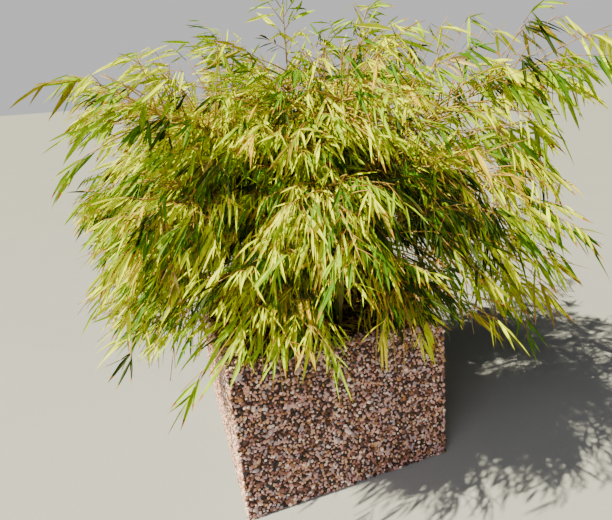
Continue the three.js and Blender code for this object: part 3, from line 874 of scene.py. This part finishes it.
def grow_leaves(twigs, out, ring, settings, rng):
    """The leaves of each twig: a fan along its outer three quarters, by turns to the left and the
    right, with the last leaf nearly straight ahead. All lean a little outwards from the clump, on
    the left towards the light as well, and hang by the ring's measure. They are larger on the right
    and along the fringe than in the rest of the crown. Returns their points, UV places and the
    number of each leaf's twig."""
    count, fan = len(twigs), settings.leaves_per_twig
    end = twigs[:, -1]
    share = np.broadcast_to(np.linspace(FAN_START, 1.0, fan), (count, fan))
    root, heading = path_at(twigs, share)
    level = unit(np.cross(heading, UP))
    side = turned(level, heading, rng.uniform(*LEAF_ROLL_DRAW, share.shape))
    side = side * np.where(np.arange(fan) % 2, 1, -1)[:, None]
    splay = rng.uniform(*LEAF_SPLAY_DRAW, share.shape)[..., None]
    splay[:, -1] *= LAST_LEAF_SPLAY
    hang = ring["hang"] * rng.uniform(*LEAF_HANG_DRAW, (*share.shape, 1))
    lean = smooth_step(*LEAN_EDGES, -end[:, 0])[:, None, None]
    ahead = heading * WITH_TWIG + side * splay + out[:, None] * OUTWARDS
    ahead = ahead + LIGHTWARDS * TO_LIGHT * lean - UP * hang
    ahead = unit(ahead + rng.normal(0, STRAY_HEADING, ahead.shape))
    flat = unit(np.cross(UP, ahead) + rng.normal(0, STRAY_ROLL, ahead.shape))
    large_low = smooth_step(*LARGE_LOW_EDGES, -end[:, 2]) * LARGE_LOW_SHARE
    large = np.maximum(smooth_step(*LARGE_RIGHT_EDGES, end[:, 0]), large_low)
    size = np.clip(rng.lognormal(*LEAF_SIZE_SPREAD, share.shape), *LEAF_SIZE_LIMITS)
    size = size * lerp(SMALL_LEAF, LARGE_LEAF, large)[:, None]
    whole = [part.reshape(count * fan, -1) for part in (root, ahead, flat)]
    length = settings.leaf_length * size.ravel()
    points, uv = leaf_blades(
        *whole,
        length=length,
        width=settings.leaf_width * size.ravel() * rng.uniform(0.8, 1.15, count * fan),
        droop=rng.uniform(0.02, 0.22, count * fan) * (0.5 + ring["hang"]),
        twist=rng.normal(0, 0.5, count * fan),
        fold=rng.uniform(0.15, 0.75, count * fan),
    )
    return points, uv, np.repeat(np.arange(count), fan)


def in_reach(points):
    """True for each shape (n, m, 3) that stays in the crown's reach and clear of the planter."""
    low, high = CROWN_LOW - PAST_THE_BOX, CROWN_HIGH + PAST_THE_BOX
    inside = ((points > low) & (points < high)).all((-1, -2))
    over = (np.abs(points[..., :2]) < PLANTER_HIGH[:2] + CLEAR_OF_PLANTER).all(-1)
    sunk = over & (points[..., 2] < PLANTER_HIGH[2] + CLEAR_OF_PLANTER)
    return inside & ~sunk.any(-1)


# The sorts of leaves, the share of each where painted light and where painted shade is dealt
# out, and the ribs' colour. Lime stands in for leaves in the key light and deep green for
# shaded leaves inside the crown.
LEAF_SORTS = ("lime", "fresh", "meadow", "deep", "olive", "straw", "dry")
PAINTED_LIT_SHARES = np.array((0.46, 0.26, 0.16, 0.04, 0.04, 0.03, 0.01))
PAINTED_SHADE_SHARES = np.array((0.05, 0.12, 0.24, 0.51, 0.04, 0.02, 0.02))
RIB_COLOUR = np.array((0.5, 0.5, 0.08))

# The shares of its foot's radius that a branch and a twig end with
BRANCH_TAPER, TWIG_TAPER = 0.45, 0.6


def deal(shares, draws):
    """The number of the sort that each draw from 0 to 1 falls on, by rows of shares."""
    return (np.cumsum(shares, -1) < draws[:, None] * shares.sum(-1, keepdims=True)).sum(-1)


def leaf_materials(settings):
    """A finish for each sort of leaf, in the order of LEAF_SORTS, and last the scorched tip."""
    group = shared_group("leaf blade", leaf_group)
    materials = []
    for name in (*LEAF_SORTS, "scorched"):
        blade = np.array(getattr(settings, f"leaf_{name}"))
        values = {
            "Blade": opaque(blade),
            "Rib": opaque(lerp(blade, RIB_COLOUR, 0.35)),
            "Tip": opaque(lerp(blade, np.array(settings.leaf_straw), 0.6)),
            "Uneven": 0.34,
        }
        found = bpy.data.materials.get(f"leaf {name}")
        materials.append(found or surface(
            f"leaf {name}", group, values, roughness=0.45, bump=0.0004, gloss=0.1, translucent=0.12))
    return materials


def crease_ribs(leaves):
    """Marks the edges along the middle of each leaf as sharp, so that its two halves catch the
    light apart. The middle points are the first, the last and the second of each row of three."""
    mesh = leaves.data
    ends = np.empty(2 * len(mesh.edges), dtype=np.int32)
    mesh.edges.foreach_get("vertices", ends)
    place = ends.reshape(-1, 2) % LEAF_POINTS
    middle = (place % 3 == 2) | (place == 0)
    sharp = mesh.attributes.new("sharp_edge", "BOOLEAN", "EDGE")
    sharp.data.foreach_set("value", (middle | (place == LEAF_POINTS - 1)).all(-1))


def build_foliage(name, chosen, ring, settings):
    """The foliage of a ring's chosen culms in two pieces: its branches and twigs, and its leaves."""
    part = f"{name}_{chosen[0] + 1}_to_{chosen[-1] + 1}"
    rng = np.random.default_rng((settings.seed, ring["order"], chosen[0]))
    branches, out, leading = grow_branches(ring, chosen, rng)
    kept = in_reach(branches)
    branches, out, leading = branches[kept], out[kept], leading[kept]
    twigs, out, depth, light = grow_twigs(branches, out, leading, ring, rng)
    blades, uv, twig_of = grow_leaves(twigs, out, ring, settings, rng)
    kept = in_reach(blades)
    blades, uv, twig_of = blades[kept], uv[kept], twig_of[kept]

    # Painted light and shade: twigs are dealt leaf sorts at random, in shares that shift from the near-black
    # deep green of painted shade inside the crown and in its hollow to the lime of painted sunlight near its
    # surface and on the left, towards the key light.
    sunlit = smooth_step(*SUNLIT_EDGES, -twigs[:, -1, 0])
    outer = (smooth_step(*LIT_EDGES, depth + SUNLIT_GAIN * sunlit) * light)[:, None]
    sort = deal(lerp(PAINTED_SHADE_SHARES, PAINTED_LIT_SHARES, outer), rng.uniform(0, 1, len(twigs)))
    scorched = rng.uniform(0, 1, len(twigs)) < settings.scorched_share
    pattern = leaf_pattern()
    index = np.repeat(sort[twig_of][:, None], len(pattern), 1)
    index[:, -2:] = np.where(scorched[twig_of], len(LEAF_SORTS), sort[twig_of])[:, None]
    leaves = mesh_piece(
        f"leaves_{part}", blades.reshape(-1, 3), repeated(pattern, len(blades), LEAF_POINTS),
        leaf_materials(settings), index.ravel(), uv.reshape(-1, 2))
    crease_ribs(leaves)
    settle(leaves, [f"foliage_{name}_{culm + 1}" for culm in chosen])

    thick = np.linspace(1, BRANCH_TAPER, BRANCH_STEPS + 1) * settings.branch_radius
    thin = np.linspace(1, TWIG_TAPER, TWIG_STEPS + 1) * settings.twig_radius
    tilt = unit(np.array((0.3, 0.2, 1.0)))
    shapes = (
        tubes(branches, np.broadcast_to(thick, branches.shape[:2]), 4, tilt),
        tubes(twigs, np.broadcast_to(thin, twigs.shape[:2]), 3, tilt),
    )
    points, triangles, uv, which = joined(*shapes)
    wood = mesh_piece(f"twigs_{part}", points, triangles, twig_materials(settings), which, uv)
    settle(wood)


def twig_materials(settings):
    """The finishes of the branches and of the finer, redder twigs."""
    group = shared_group("cane skin", cane_group)
    materials = []
    for name, colour in (("branch", settings.branch_colour), ("twig", settings.twig_colour)):
        values = {"Cane": opaque(colour), "Weathered": opaque(np.array(colour) * 0.6)}
        found = bpy.data.materials.get(f"bamboo {name}")
        materials.append(found or surface(f"bamboo {name}", group, values, roughness=0.5, bump=0.0003))
    return materials


# The culms

INTERNODES = 9
INTERNODE_ROWS = np.array((0.0, 0.012, 0.03, 0.06, 0.3, 0.6, 0.9, 0.96))
INTERNODE_SWELL = np.array((1.2, 1.26, 1.02, 0.99, 1.0, 1.0, 1.0, 1.04))

# The powers by which the nodes are spaced and the culm tapers, and the share of the tip's radius
# that the culm ends with
SPACING_POWER = 0.92
TAPER_POWER = 1.3
POINT_SHARE = 0.6


def node_distance(step):
    """The share of a culm's length at a number of nodes up it: their share to the power 0.92."""
    return (step / INTERNODES) ** SPACING_POWER


def culm_radius(settings, distance):
    """A culm's radius at a share of its length: from foot to tip by the share to the power 1.3."""
    return lerp(settings.foot_radius, settings.tip_radius, distance**TAPER_POWER)


def culm_rows(settings):
    """Along a culm, the distances of its rows and their radii: each internode is a plain stretch
    with a narrow swollen ridge at its foot, and the whole tapers to the tip."""
    distance = node_distance(np.arange(INTERNODES)[:, None] + INTERNODE_ROWS).ravel()
    radius = np.tile(INTERNODE_SWELL, INTERNODES) * culm_radius(settings, distance)
    return np.append(distance, 1.0), np.append(radius, settings.tip_radius * POINT_SHARE)


def build_culms(settings):
    """Every culm as a ten-sided tube along its curve, from the soil to its tip."""
    distance, radii = culm_rows(settings)
    shapes, replaced = [], []
    for name, ring in RINGS.items():
        curves, out = culm_curves(ring)
        share = even_shares(curves, distance)
        paths = curve_points(curves, share)
        girth = np.broadcast_to(radii, paths.shape[:2])
        shapes.append(tubes(paths, girth, settings.sides, np.cross(UP, out)[:, None]))
        replaced += [f"culm_{name}_{n + 1}" for n in range(ring["culms"])]
    points, triangles, uv, _ = joined(*shapes)
    group = shared_group("cane skin", cane_group)
    values = {"Cane": opaque(settings.cane_colour), "Weathered": opaque(settings.cane_weathered)}
    skin = surface("bamboo cane", group, values, roughness=0.38, bump=0.0005)
    piece = mesh_piece("culm_canes", points, triangles, [skin], None, uv)
    settle(piece, replaced)


# The sheaths: their grid, the nodes that have one, how far above the node it starts in internodes,
# how far round the culm it reaches, how it narrows, its gap to the culm, how far it flares, how
# thick it is, and the length of culm that its own length is measured by
SHEATH_ROWS, SHEATH_COLUMNS = 7, 6
SHEATHED_NODES = range(1, 5)
SHEATH_START = 0.02
SHEATH_SPAN = math.radians(250)
SHEATH_NARROWING = 0.93
SHEATH_POWER = 2.2
SHEATH_GIRTH = 1.1
SHEATH_GAP = 0.0008
SHEATH_FLARE = 0.004
SHEATH_FLARE_DRAW = (0.3, 1.5)
SHEATH_THICKNESS = 0.0006
CULM_LENGTH = 1.1


def build_sheaths(settings):
    """Papery sheaths on the lower nodes. A sheath is a grid wrapped round its culm: at a share v
    of its length it spans 250 degrees times (1 - 0.93 v^2.2), and its radius grows by v^3 from
    just over the culm's to a flared, pointed end."""
    rng = np.random.default_rng(7)
    surfaces = []
    v = np.linspace(0, 1, SHEATH_ROWS)
    span = SHEATH_SPAN * (1 - SHEATH_NARROWING * v**SHEATH_POWER)[:, None]
    for ring in RINGS.values():
        curves, out = culm_curves(ring)
        for node in SHEATHED_NODES:
            foot = node_distance(node + SHEATH_START)
            share = even_shares(curves, foot + v * settings.sheath_length / CULM_LENGTH)
            middle = curve_points(curves, share)
            heading = curve_headings(curves, share)
            level = np.cross(UP, out)[:, None]
            level = unit(level - heading * (level * heading).sum(-1, keepdims=True))
            centre = rng.uniform(0, 2 * math.pi, (len(curves), 1, 1))
            angle = centre + span * np.linspace(-0.5, 0.5, SHEATH_COLUMNS)
            flare = SHEATH_FLARE * v**3 * rng.uniform(*SHEATH_FLARE_DRAW, (len(curves), 1))
            radius = culm_radius(settings, foot) * SHEATH_GIRTH + SHEATH_GAP + flare
            around = turned(level[:, :, None], heading[:, :, None], angle)
            surfaces.append(middle[:, :, None] + around * radius[:, :, None, None])
    points = np.concatenate(surfaces)
    count = len(points)
    pattern = grid_triangles(SHEATH_ROWS, SHEATH_COLUMNS, closed=False)
    u, v = np.meshgrid(np.linspace(0, 1, SHEATH_COLUMNS), v)
    uv = np.tile(np.stack((u, v), -1).reshape(-1, 2), (count, 1))
    group = shared_group("cane skin", cane_group)
    values = {"Cane": opaque(settings.sheath_colour), "Weathered": opaque(settings.sheath_stain)}
    skin = surface("bamboo sheath", group, values, roughness=0.7, bump=0.0006)
    triangles = repeated(pattern, count, SHEATH_ROWS * SHEATH_COLUMNS)
    piece = mesh_piece("culm_sheaths", points.reshape(-1, 3), triangles, [skin], None, uv)
    wall = piece.modifiers.new("paper thickness", "SOLIDIFY")
    wall.thickness = SHEATH_THICKNESS
    settle(piece)


# The soil and its litter: the waves and crumbs of its surface, and the bark chips strewn on it

SOIL_WAVE, SOIL_RISE = 0.16, 0.006
CRUMB_LENGTH, CRUMB_RISE, CRUMB_SINK = 0.02, 0.0025, 0.003
SOIL_RINGS = 60
OFF_THE_WALL = 0.05
LITTER_MARGIN = 0.03
BARK_LENGTH, BARK_RELIEF = 0.014, 0.0025
BARK_COLOURS = {"dark": (0.06, 0.035, 0.02), "brown": (0.13, 0.075, 0.04)}


def soil_height(points):
    """How far the soil stands above its level: a ripple that falls off towards the walls."""
    off_wall = (SOIL_HIGH[:2] - np.abs(points[..., :2])).min(-1)
    level = smooth_step(0.0, OFF_THE_WALL, off_wall)
    return ripple(points * (1, 1, 0), SOIL_WAVE, seed=5) * SOIL_RISE * level


def soil_loops():
    """The soil's loops: up its side, then inwards over its top to the middle."""
    half = SOIL_HIGH[:2]
    rows = [(half, SOIL_LOW[2]), (half, SOIL_HIGH[2] - SOIL_RISE)]
    rows += [(half * inner, SOIL_HIGH[2]) for inner in np.linspace(0.995, 0.02, SOIL_RINGS)]
    loops = []
    for (half_x, half_y), height in rows:
        loop = rounded_loop(half_x, half_y, min(CORNER_RADIUS, half_x / 2))
        loops.append(np.concatenate((loop, np.full((len(loop), 1), height)), -1))
    loops = np.stack(loops)
    crumbs = CRUMB_RISE * ripple(loops[2:], CRUMB_LENGTH, seed=9)
    loops[2:, :, 2] += soil_height(loops[2:]) - CRUMB_SINK + crumbs
    return loops


def on_soil(count, rng, lift):
    """Random places on the soil, lifted off it by as much as told."""
    places = rng.uniform(-1, 1, (count, 3)) * np.append(SOIL_HIGH[:2] - LITTER_MARGIN, 0)
    places[:, 2] = SOIL_HIGH[2] + soil_height(places) + lift
    return places


# What a user may change

def colour_property(name, description, default):
    """A colour that a user may change."""
    return FloatVectorProperty(name=name, description=description, default=default, subtype="COLOR")


def length_property(name, description, default):
    """A length that a user may change, in metres."""
    return FloatProperty(name=name, description=description, default=default, unit="LENGTH")


class PlanterProperties(bpy.types.PropertyGroup):
    """Sizes and colours of the planter"""

    pebble_pitch: length_property("Pebble spacing", "Distance from pebble to pebble", 0.0117)
    pebble_size: length_property("Pebble size", "Length of a middling pebble", 0.0138)
    pebble_relief: length_property("Pebble relief", "How far the mortar stands behind the pebbles", 0.005)
    mortar_roughness: length_property("Mortar roughness", "How uneven the mortar is", 0.0007)
    # Near black: partly the mortar's own dark tone, partly painted shade in the recesses between the pebbles
    # and on the planter's inside
    mortar_and_gap_shade_colour: colour_property("Mortar", "Colour of the mortar", (0.035, 0.018, 0.015))
    stone_pink: colour_property("Pink stone", "Colour of the pink stones", (0.66, 0.35, 0.33))
    stone_brown: colour_property("Brown stone", "Colour of the brown stones", (0.28, 0.12, 0.1))
    stone_tan: colour_property("Tan stone", "Colour of the tan stones", (0.7, 0.42, 0.28))
    stone_grey: colour_property("Grey stone", "Colour of the grey stones", (0.46, 0.34, 0.39))
    stone_pale: colour_property("Pale stone", "Colour of the pale stones", (0.95, 0.74, 0.7))
    stone_umber: colour_property("Umber stone", "Colour of the dark brown stones", (0.11, 0.045, 0.03))
    stone_black: colour_property("Black stone", "Colour of the black stones", (0.03, 0.025, 0.03))
    stone_rust: colour_property("Rust stone", "Colour of the rust stones", (0.42, 0.18, 0.07))


class SoilProperties(bpy.types.PropertyGroup):
    """Colours and litter of the soil"""

    soil_colour: colour_property("Soil", "Colour of the soil", (0.035, 0.024, 0.016))
    fallen_leaves: IntProperty(
        name="Fallen leaves", description="Number of dry leaves on the soil", default=420)
    bark_chips: IntProperty(
        name="Bark chips", description="Number of bark chips on the soil", default=1500)


class CulmProperties(bpy.types.PropertyGroup):
    """Sizes and colours of the culms"""

    foot_radius: length_property("Foot radius", "Radius of a culm at the soil", 0.0072)
    tip_radius: length_property("Tip radius", "Radius of a culm near its tip", 0.0014)
    sides: IntProperty(name="Sides", description="Sides of a culm's mesh", default=10)
    sheath_length: length_property("Sheath length", "Length of a papery sheath", 0.085)
    cane_colour: colour_property("Cane", "Colour of the culms", (0.4, 0.38, 0.11))
    cane_weathered: colour_property("Weathered cane", "Colour of weathered culms", (0.36, 0.24, 0.1))
    sheath_colour: colour_property("Sheath", "Colour of the sheaths", (0.55, 0.42, 0.24))
    sheath_stain: colour_property("Sheath stain", "Colour of the stains on the sheaths", (0.33, 0.2, 0.1))


class FoliageProperties(bpy.types.PropertyGroup):
    """Sizes and colours of the branches, twigs and leaves"""

    seed: IntProperty(name="Seed", description="Start of the random draws", default=20)
    branch_radius: length_property("Branch radius", "Radius of a branch at its foot", 0.0027)
    twig_radius: length_property("Twig radius", "Radius of a twig at its foot", 0.0015)
    leaves_per_twig: IntProperty(name="Leaves per twig", description="Leaves in each twig's fan", default=6)
    leaf_length: length_property("Leaf length", "Length of a long leaf", 0.112)
    leaf_width: length_property("Leaf width", "Width of a wide leaf", 0.0125)
    scorched_share: FloatProperty(
        name="Scorched tips", description="Share of the twigs whose leaves have brown tips", default=0.35,
        subtype="FACTOR")
    # Lime is painted sunlight: the colour of leaves as the key light would show them
    leaf_lime: colour_property("Lime leaf", "Colour of the sunlit leaves", (0.56, 0.64, 0.002))
    leaf_fresh: colour_property("Fresh leaf", "Colour of the fresh leaves", (0.27, 0.42, 0.002))
    leaf_meadow: colour_property("Green leaf", "Colour of the green leaves", (0.06, 0.16, 0.003))
    # Deep green is near black: painted shade for the leaves inside the crown
    leaf_deep: colour_property("Deep green leaf", "Colour of the leaves inside", (0.012, 0.032, 0.002))
    leaf_olive: colour_property("Olive leaf", "Colour of the olive leaves", (0.24, 0.21, 0.012))
    leaf_straw: colour_property("Straw leaf", "Colour of the yellowed leaves", (0.5, 0.38, 0.02))
    leaf_dry: colour_property("Dry leaf", "Colour of the dry leaves", (0.46, 0.34, 0.12))
    leaf_scorched: colour_property("Scorched tip", "Colour of the scorched leaf tips", (0.32, 0.15, 0.02))
    branch_colour: colour_property("Branch", "Colour of the branches", (0.36, 0.22, 0.04))
    twig_colour: colour_property("Twig", "Colour of the twigs", (0.26, 0.12, 0.02))


class StageProperties(bpy.types.PropertyGroup):
    """Floor and lights"""

    floor_colour: colour_property("Floor", "Colour of the floor", (0.25, 0.257, 0.295))
    key_strength: FloatProperty(
        name="Key light", description="Watts of key light on a square metre", default=17.0)
    key_angle: FloatProperty(
        name="Key softness", description="Angle that the key light spans", default=math.radians(0.8),
        subtype="ANGLE")
    fill_power: FloatProperty(
        name="Fill light", description="Power of the fill light", default=170.0, unit="POWER")


# The steps

class BAMBOO_OT_planter(bpy.types.Operator):
    """Builds the mortar shell of the planter"""

    bl_idname = "bamboo.planter"
    bl_label = "Planter shell"

    def execute(self, context):
        settings = context.scene.bamboo_planter
        points, triangles = lofted(mortar_loops(settings))
        group = shared_group("mineral", mineral_group)
        # The mortar's near-black colour is partly its own, partly painted shade in the gaps between the
        # pebbles and inside the planter
        values = {"Stone": opaque(settings.mortar_and_gap_shade_colour), "Coarse": 25.0, "Fine": 420.0, "Uneven": 1.5}
        mortar = surface("mortar", group, values, roughness=0.9, bump=0.0012)
        settle(mesh_piece("planter_shell", points, triangles, [mortar]), ["planter"])
        return {"FINISHED"}


class BAMBOO_OT_pebbles(bpy.types.Operator):
    """Sets the pebbles in the planter's faces and rim"""

    bl_idname = "bamboo.pebbles"
    bl_label = "Pebbles"

    def execute(self, context):
        settings = context.scene.bamboo_planter
        materials = stone_materials(settings)
        shares = np.array(list(STONE_SHARES.values()))
        triangles = ball_triangles()
        rng = np.random.default_rng(3)
        faces = wall_faces()
        for name in ("front", "back", "right", "left", "rim"):
            centres, normals = [], []
            for _, corner, edge, other, normal in (face for face in faces if face[0] == name):
                lengths = np.linalg.norm((edge, other), axis=-1)
                places = scattered(*lengths, settings.pebble_pitch, rng)
                spot = np.array(corner) + places @ (np.stack((edge, other)) / lengths[:, None])
                sunk = settings.pebble_relief * rng.uniform(0.7, 1.0, (len(spot), 1))
                centres.append(spot - np.array(normal) * sunk)
                normals.append(np.broadcast_to(np.array(normal, float), spot.shape))
            centres, normals = np.concatenate(centres), np.concatenate(normals)
            points = stones(centres, normals, settings.pebble_size, settings.pebble_relief, rng)
            count = len(centres)
            sort = deal(np.broadcast_to(shares, (count, len(shares))), rng.uniform(0, 1, count))
            piece = mesh_piece(
                f"pebbles_{name}", points, repeated(triangles, count, len(BALL_POINTS)), materials,
                np.repeat(sort, len(triangles)), smooth=False)
            settle(piece)
        return {"FINISHED"}


class BAMBOO_OT_soil(bpy.types.Operator):
    """Builds the soil bed"""

    bl_idname = "bamboo.soil"
    bl_label = "Soil"

    def execute(self, context):
        settings = context.scene.bamboo_soil
        points, triangles = lofted(soil_loops())
        group = shared_group("mineral", mineral_group)
        values = {"Stone": opaque(settings.soil_colour), "Coarse": 30.0, "Fine": 260.0, "Uneven": 2.2}
        earth = surface("soil", group, values, roughness=0.95, bump=0.003)
        settle(mesh_piece("soil_bed", points, triangles, [earth]), ["soil"])
        return {"FINISHED"}


class BAMBOO_OT_litter(bpy.types.Operator):
    """Strews bark chips and fallen leaves on the soil"""

    bl_idname = "bamboo.litter"
    bl_label = "Litter"

    def execute(self, context):
        settings = context.scene.bamboo_soil
        leaf = context.scene.bamboo_foliage
        rng = np.random.default_rng(17)
        group = shared_group("mineral", mineral_group)
        barks = []
        for name, colour in BARK_COLOURS.items():
            values = {"Stone": opaque(colour), "Uneven": 2.0}
            barks.append(surface(f"bark {name}", group, values, roughness=0.9, bump=0.001))
        count = settings.bark_chips
        centres = on_soil(count, rng, 0.001)
        normals = unit(UP + rng.normal(0, 0.3, (count, 3)))
        points = stones(centres, normals, BARK_LENGTH, BARK_RELIEF, rng)
        triangles = ball_triangles()
        index = np.repeat(rng.integers(0, len(barks), count), len(triangles))
        pattern = repeated(triangles, count, len(BALL_POINTS))
        chips = mesh_piece("bark_chips", points, pattern, barks, index, smooth=False)
        settle(chips)

        count = settings.fallen_leaves
        root = on_soil(count, rng, 0.007)
        angle = rng.uniform(0, 2 * math.pi, count)
        heading = unit(np.stack((np.cos(angle), np.sin(angle), rng.normal(0, 0.05, count)), -1))
        across = unit(np.cross(UP, heading) + rng.normal(0, 0.15, (count, 3)))
        blades, uv = leaf_blades(
            root, heading, across,
            length=leaf.leaf_length * rng.uniform(0.5, 0.95, count),
            width=leaf.leaf_width * rng.uniform(0.6, 0.95, count),
            droop=rng.uniform(-0.03, 0.01, count),
            twist=rng.normal(0, 0.5, count),
            fold=rng.uniform(0.1, 0.9, count),
        )
        walls = (np.abs(blades[..., :2]) < SOIL_HIGH[:2] - CLEAR_OF_PLANTER).all((-1, -2))
        blades, uv = blades[walls], uv[walls]
        pattern = leaf_pattern()
        dry = leaf_materials(leaf)[LEAF_SORTS.index("straw"):]
        index = np.repeat(rng.integers(0, len(dry), len(blades)), len(pattern))
        piece = mesh_piece(
            "fallen_leaves", blades.reshape(-1, 3), repeated(pattern, len(blades), LEAF_POINTS),
            dry, index, uv.reshape(-1, 2))
        settle(piece)
        return {"FINISHED"}


class BAMBOO_OT_culms(bpy.types.Operator):
    """Builds the jointed culms"""

    bl_idname = "bamboo.culms"
    bl_label = "Culms"

    def execute(self, context):
        build_culms(context.scene.bamboo_culms)
        return {"FINISHED"}


class BAMBOO_OT_sheaths(bpy.types.Operator):
    """Wraps papery sheaths round the lower nodes"""

    bl_idname = "bamboo.sheaths"
    bl_label = "Sheaths"

    def execute(self, context):
        build_sheaths(context.scene.bamboo_culms)
        return {"FINISHED"}


class BAMBOO_OT_foliage(bpy.types.Operator):
    """Grows the branches, twigs and leaves ring by ring"""

    bl_idname = "bamboo.foliage"
    bl_label = "Foliage"

    def execute(self, context):
        for name, ring in RINGS.items():
            for chosen in np.array_split(np.arange(ring["culms"]), 2):
                build_foliage(name, chosen, ring, context.scene.bamboo_foliage)
        return {"FINISHED"}


class BAMBOO_OT_stage(bpy.types.Operator):
    """Sets the floor, the lights and the camera"""

    bl_idname = "bamboo.stage"
    bl_label = "Floor, lights and camera"

    def execute(self, context):
        settings = context.scene.bamboo_stage
        corners = np.array(((-1, -1, 0), (1, -1, 0), (1, 1, 0), (-1, 1, 0))) * FLOOR_HALF
        group = shared_group("mineral", mineral_group)
        values = {"Stone": opaque(settings.floor_colour), "Coarse": 1.5, "Fine": 60.0, "Uneven": 0.12}
        finish = surface("floor", group, values, roughness=0.7, bump=0.0003)
        floor = mesh_piece("floor", corners, np.array(((0, 1, 2), (0, 2, 3))), [finish])
        world = bpy.data.worlds.new("studio")
        context.scene.world = world
        world.use_nodes = True
        sky = world.node_tree.nodes["Background"]
        sky.inputs["Color"].default_value = SKY_COLOUR
        seen = add_node(world.node_tree, "ShaderNodeLightPath").outputs["Is Camera Ray"]
        strength = maths(world.node_tree, "MULTIPLY_ADD", seen, SEEN_SKY - LIGHTING_SKY)
        strength.node.inputs[2].default_value = LIGHTING_SKY
        world.node_tree.links.new(strength, sky.inputs["Strength"])
        key = bpy.data.lights.new("key", "SUN")
        key.energy = settings.key_strength
        key.angle = settings.key_angle
        key.color = KEY_COLOUR
        self.place_light(key, KEY_PLACE)
        fill = bpy.data.lights.new("fill", "AREA")
        fill.energy = settings.fill_power
        fill.size = FILL_SIZE
        fill.color = FILL_COLOUR
        self.place_light(fill, FILL_PLACE)
        self.add_camera(context)
        return {"FINISHED"}

    def place_light(self, lamp, place):
        """The lamp at its place, turned to look at the middle of the crown."""
        holder = bpy.data.objects.new(lamp.name, lamp)
        bpy.context.scene.collection.objects.link(holder)
        backwards = unit(np.array(place) - CROWN_MIDDLE)
        across = unit(np.cross(UP, backwards))
        axes = np.column_stack((across, np.cross(backwards, across), backwards))
        holder.matrix_world = Matrix.Translation(place) @ Matrix(axes.tolist()).to_4x4()

    def add_camera(self, context):
        """The camera turned by its heading, pitch and roll."""
        lens = bpy.data.cameras.new("camera")
        lens.lens = CAMERA_LENS_MM
        lens.shift_x, lens.shift_y = CAMERA_SHIFT
        holder = bpy.data.objects.new("camera", lens)
        context.scene.collection.objects.link(holder)
        holder.matrix_world = (
            Matrix.Translation(CAMERA_PLACE)
            @ Matrix.Rotation(-CAMERA_HEADING, 4, "Z")
            @ Matrix.Rotation(math.pi / 2 + CAMERA_PITCH, 4, "X")
            @ Matrix.Rotation(CAMERA_ROLL, 4, "Z")
        )
        context.scene.camera = holder


class BAMBOO_PT_panel(bpy.types.Panel):
    """Lists the steps and what may be changed"""

    bl_idname = "BAMBOO_PT_panel"
    bl_label = "Potted bamboo"
    bl_space_type = "VIEW_3D"
    bl_region_type = "UI"
    bl_category = "Bamboo"

    def draw(self, context):
        for step in STEPS:
            self.layout.operator(step.bl_idname)
        for name, group in PROPERTIES.items():
            box = self.layout.box()
            box.label(text=group.__doc__)
            for key in group.__annotations__:
                box.prop(getattr(context.scene, name), key)


STEPS = (
    BAMBOO_OT_stage,
    BAMBOO_OT_planter,
    BAMBOO_OT_pebbles,
    BAMBOO_OT_soil,
    BAMBOO_OT_litter,
    BAMBOO_OT_culms,
    BAMBOO_OT_sheaths,
    BAMBOO_OT_foliage,
)
PROPERTIES = {
    "bamboo_planter": PlanterProperties,
    "bamboo_soil": SoilProperties,
    "bamboo_culms": CulmProperties,
    "bamboo_foliage": FoliageProperties,
    "bamboo_stage": StageProperties,
}


def register():
    for kind in (*PROPERTIES.values(), *STEPS, BAMBOO_PT_panel):
        bpy.utils.register_class(kind)
    for name, group in PROPERTIES.items():
        setattr(bpy.types.Scene, name, PointerProperty(type=group))


def unregister():
    for name in PROPERTIES:
        delattr(bpy.types.Scene, name)
    for kind in reversed((*PROPERTIES.values(), *STEPS, BAMBOO_PT_panel)):
        bpy.utils.unregister_class(kind)


def main():
    """Runs the steps in order."""
    register()
    bpy.ops.bamboo.stage()
    bpy.ops.bamboo.planter()
    bpy.ops.bamboo.pebbles()
    bpy.ops.bamboo.soil()
    bpy.ops.bamboo.litter()
    bpy.ops.bamboo.culms()
    bpy.ops.bamboo.sheaths()
    bpy.ops.bamboo.foliage()


if __name__ == "__main__":
    main()
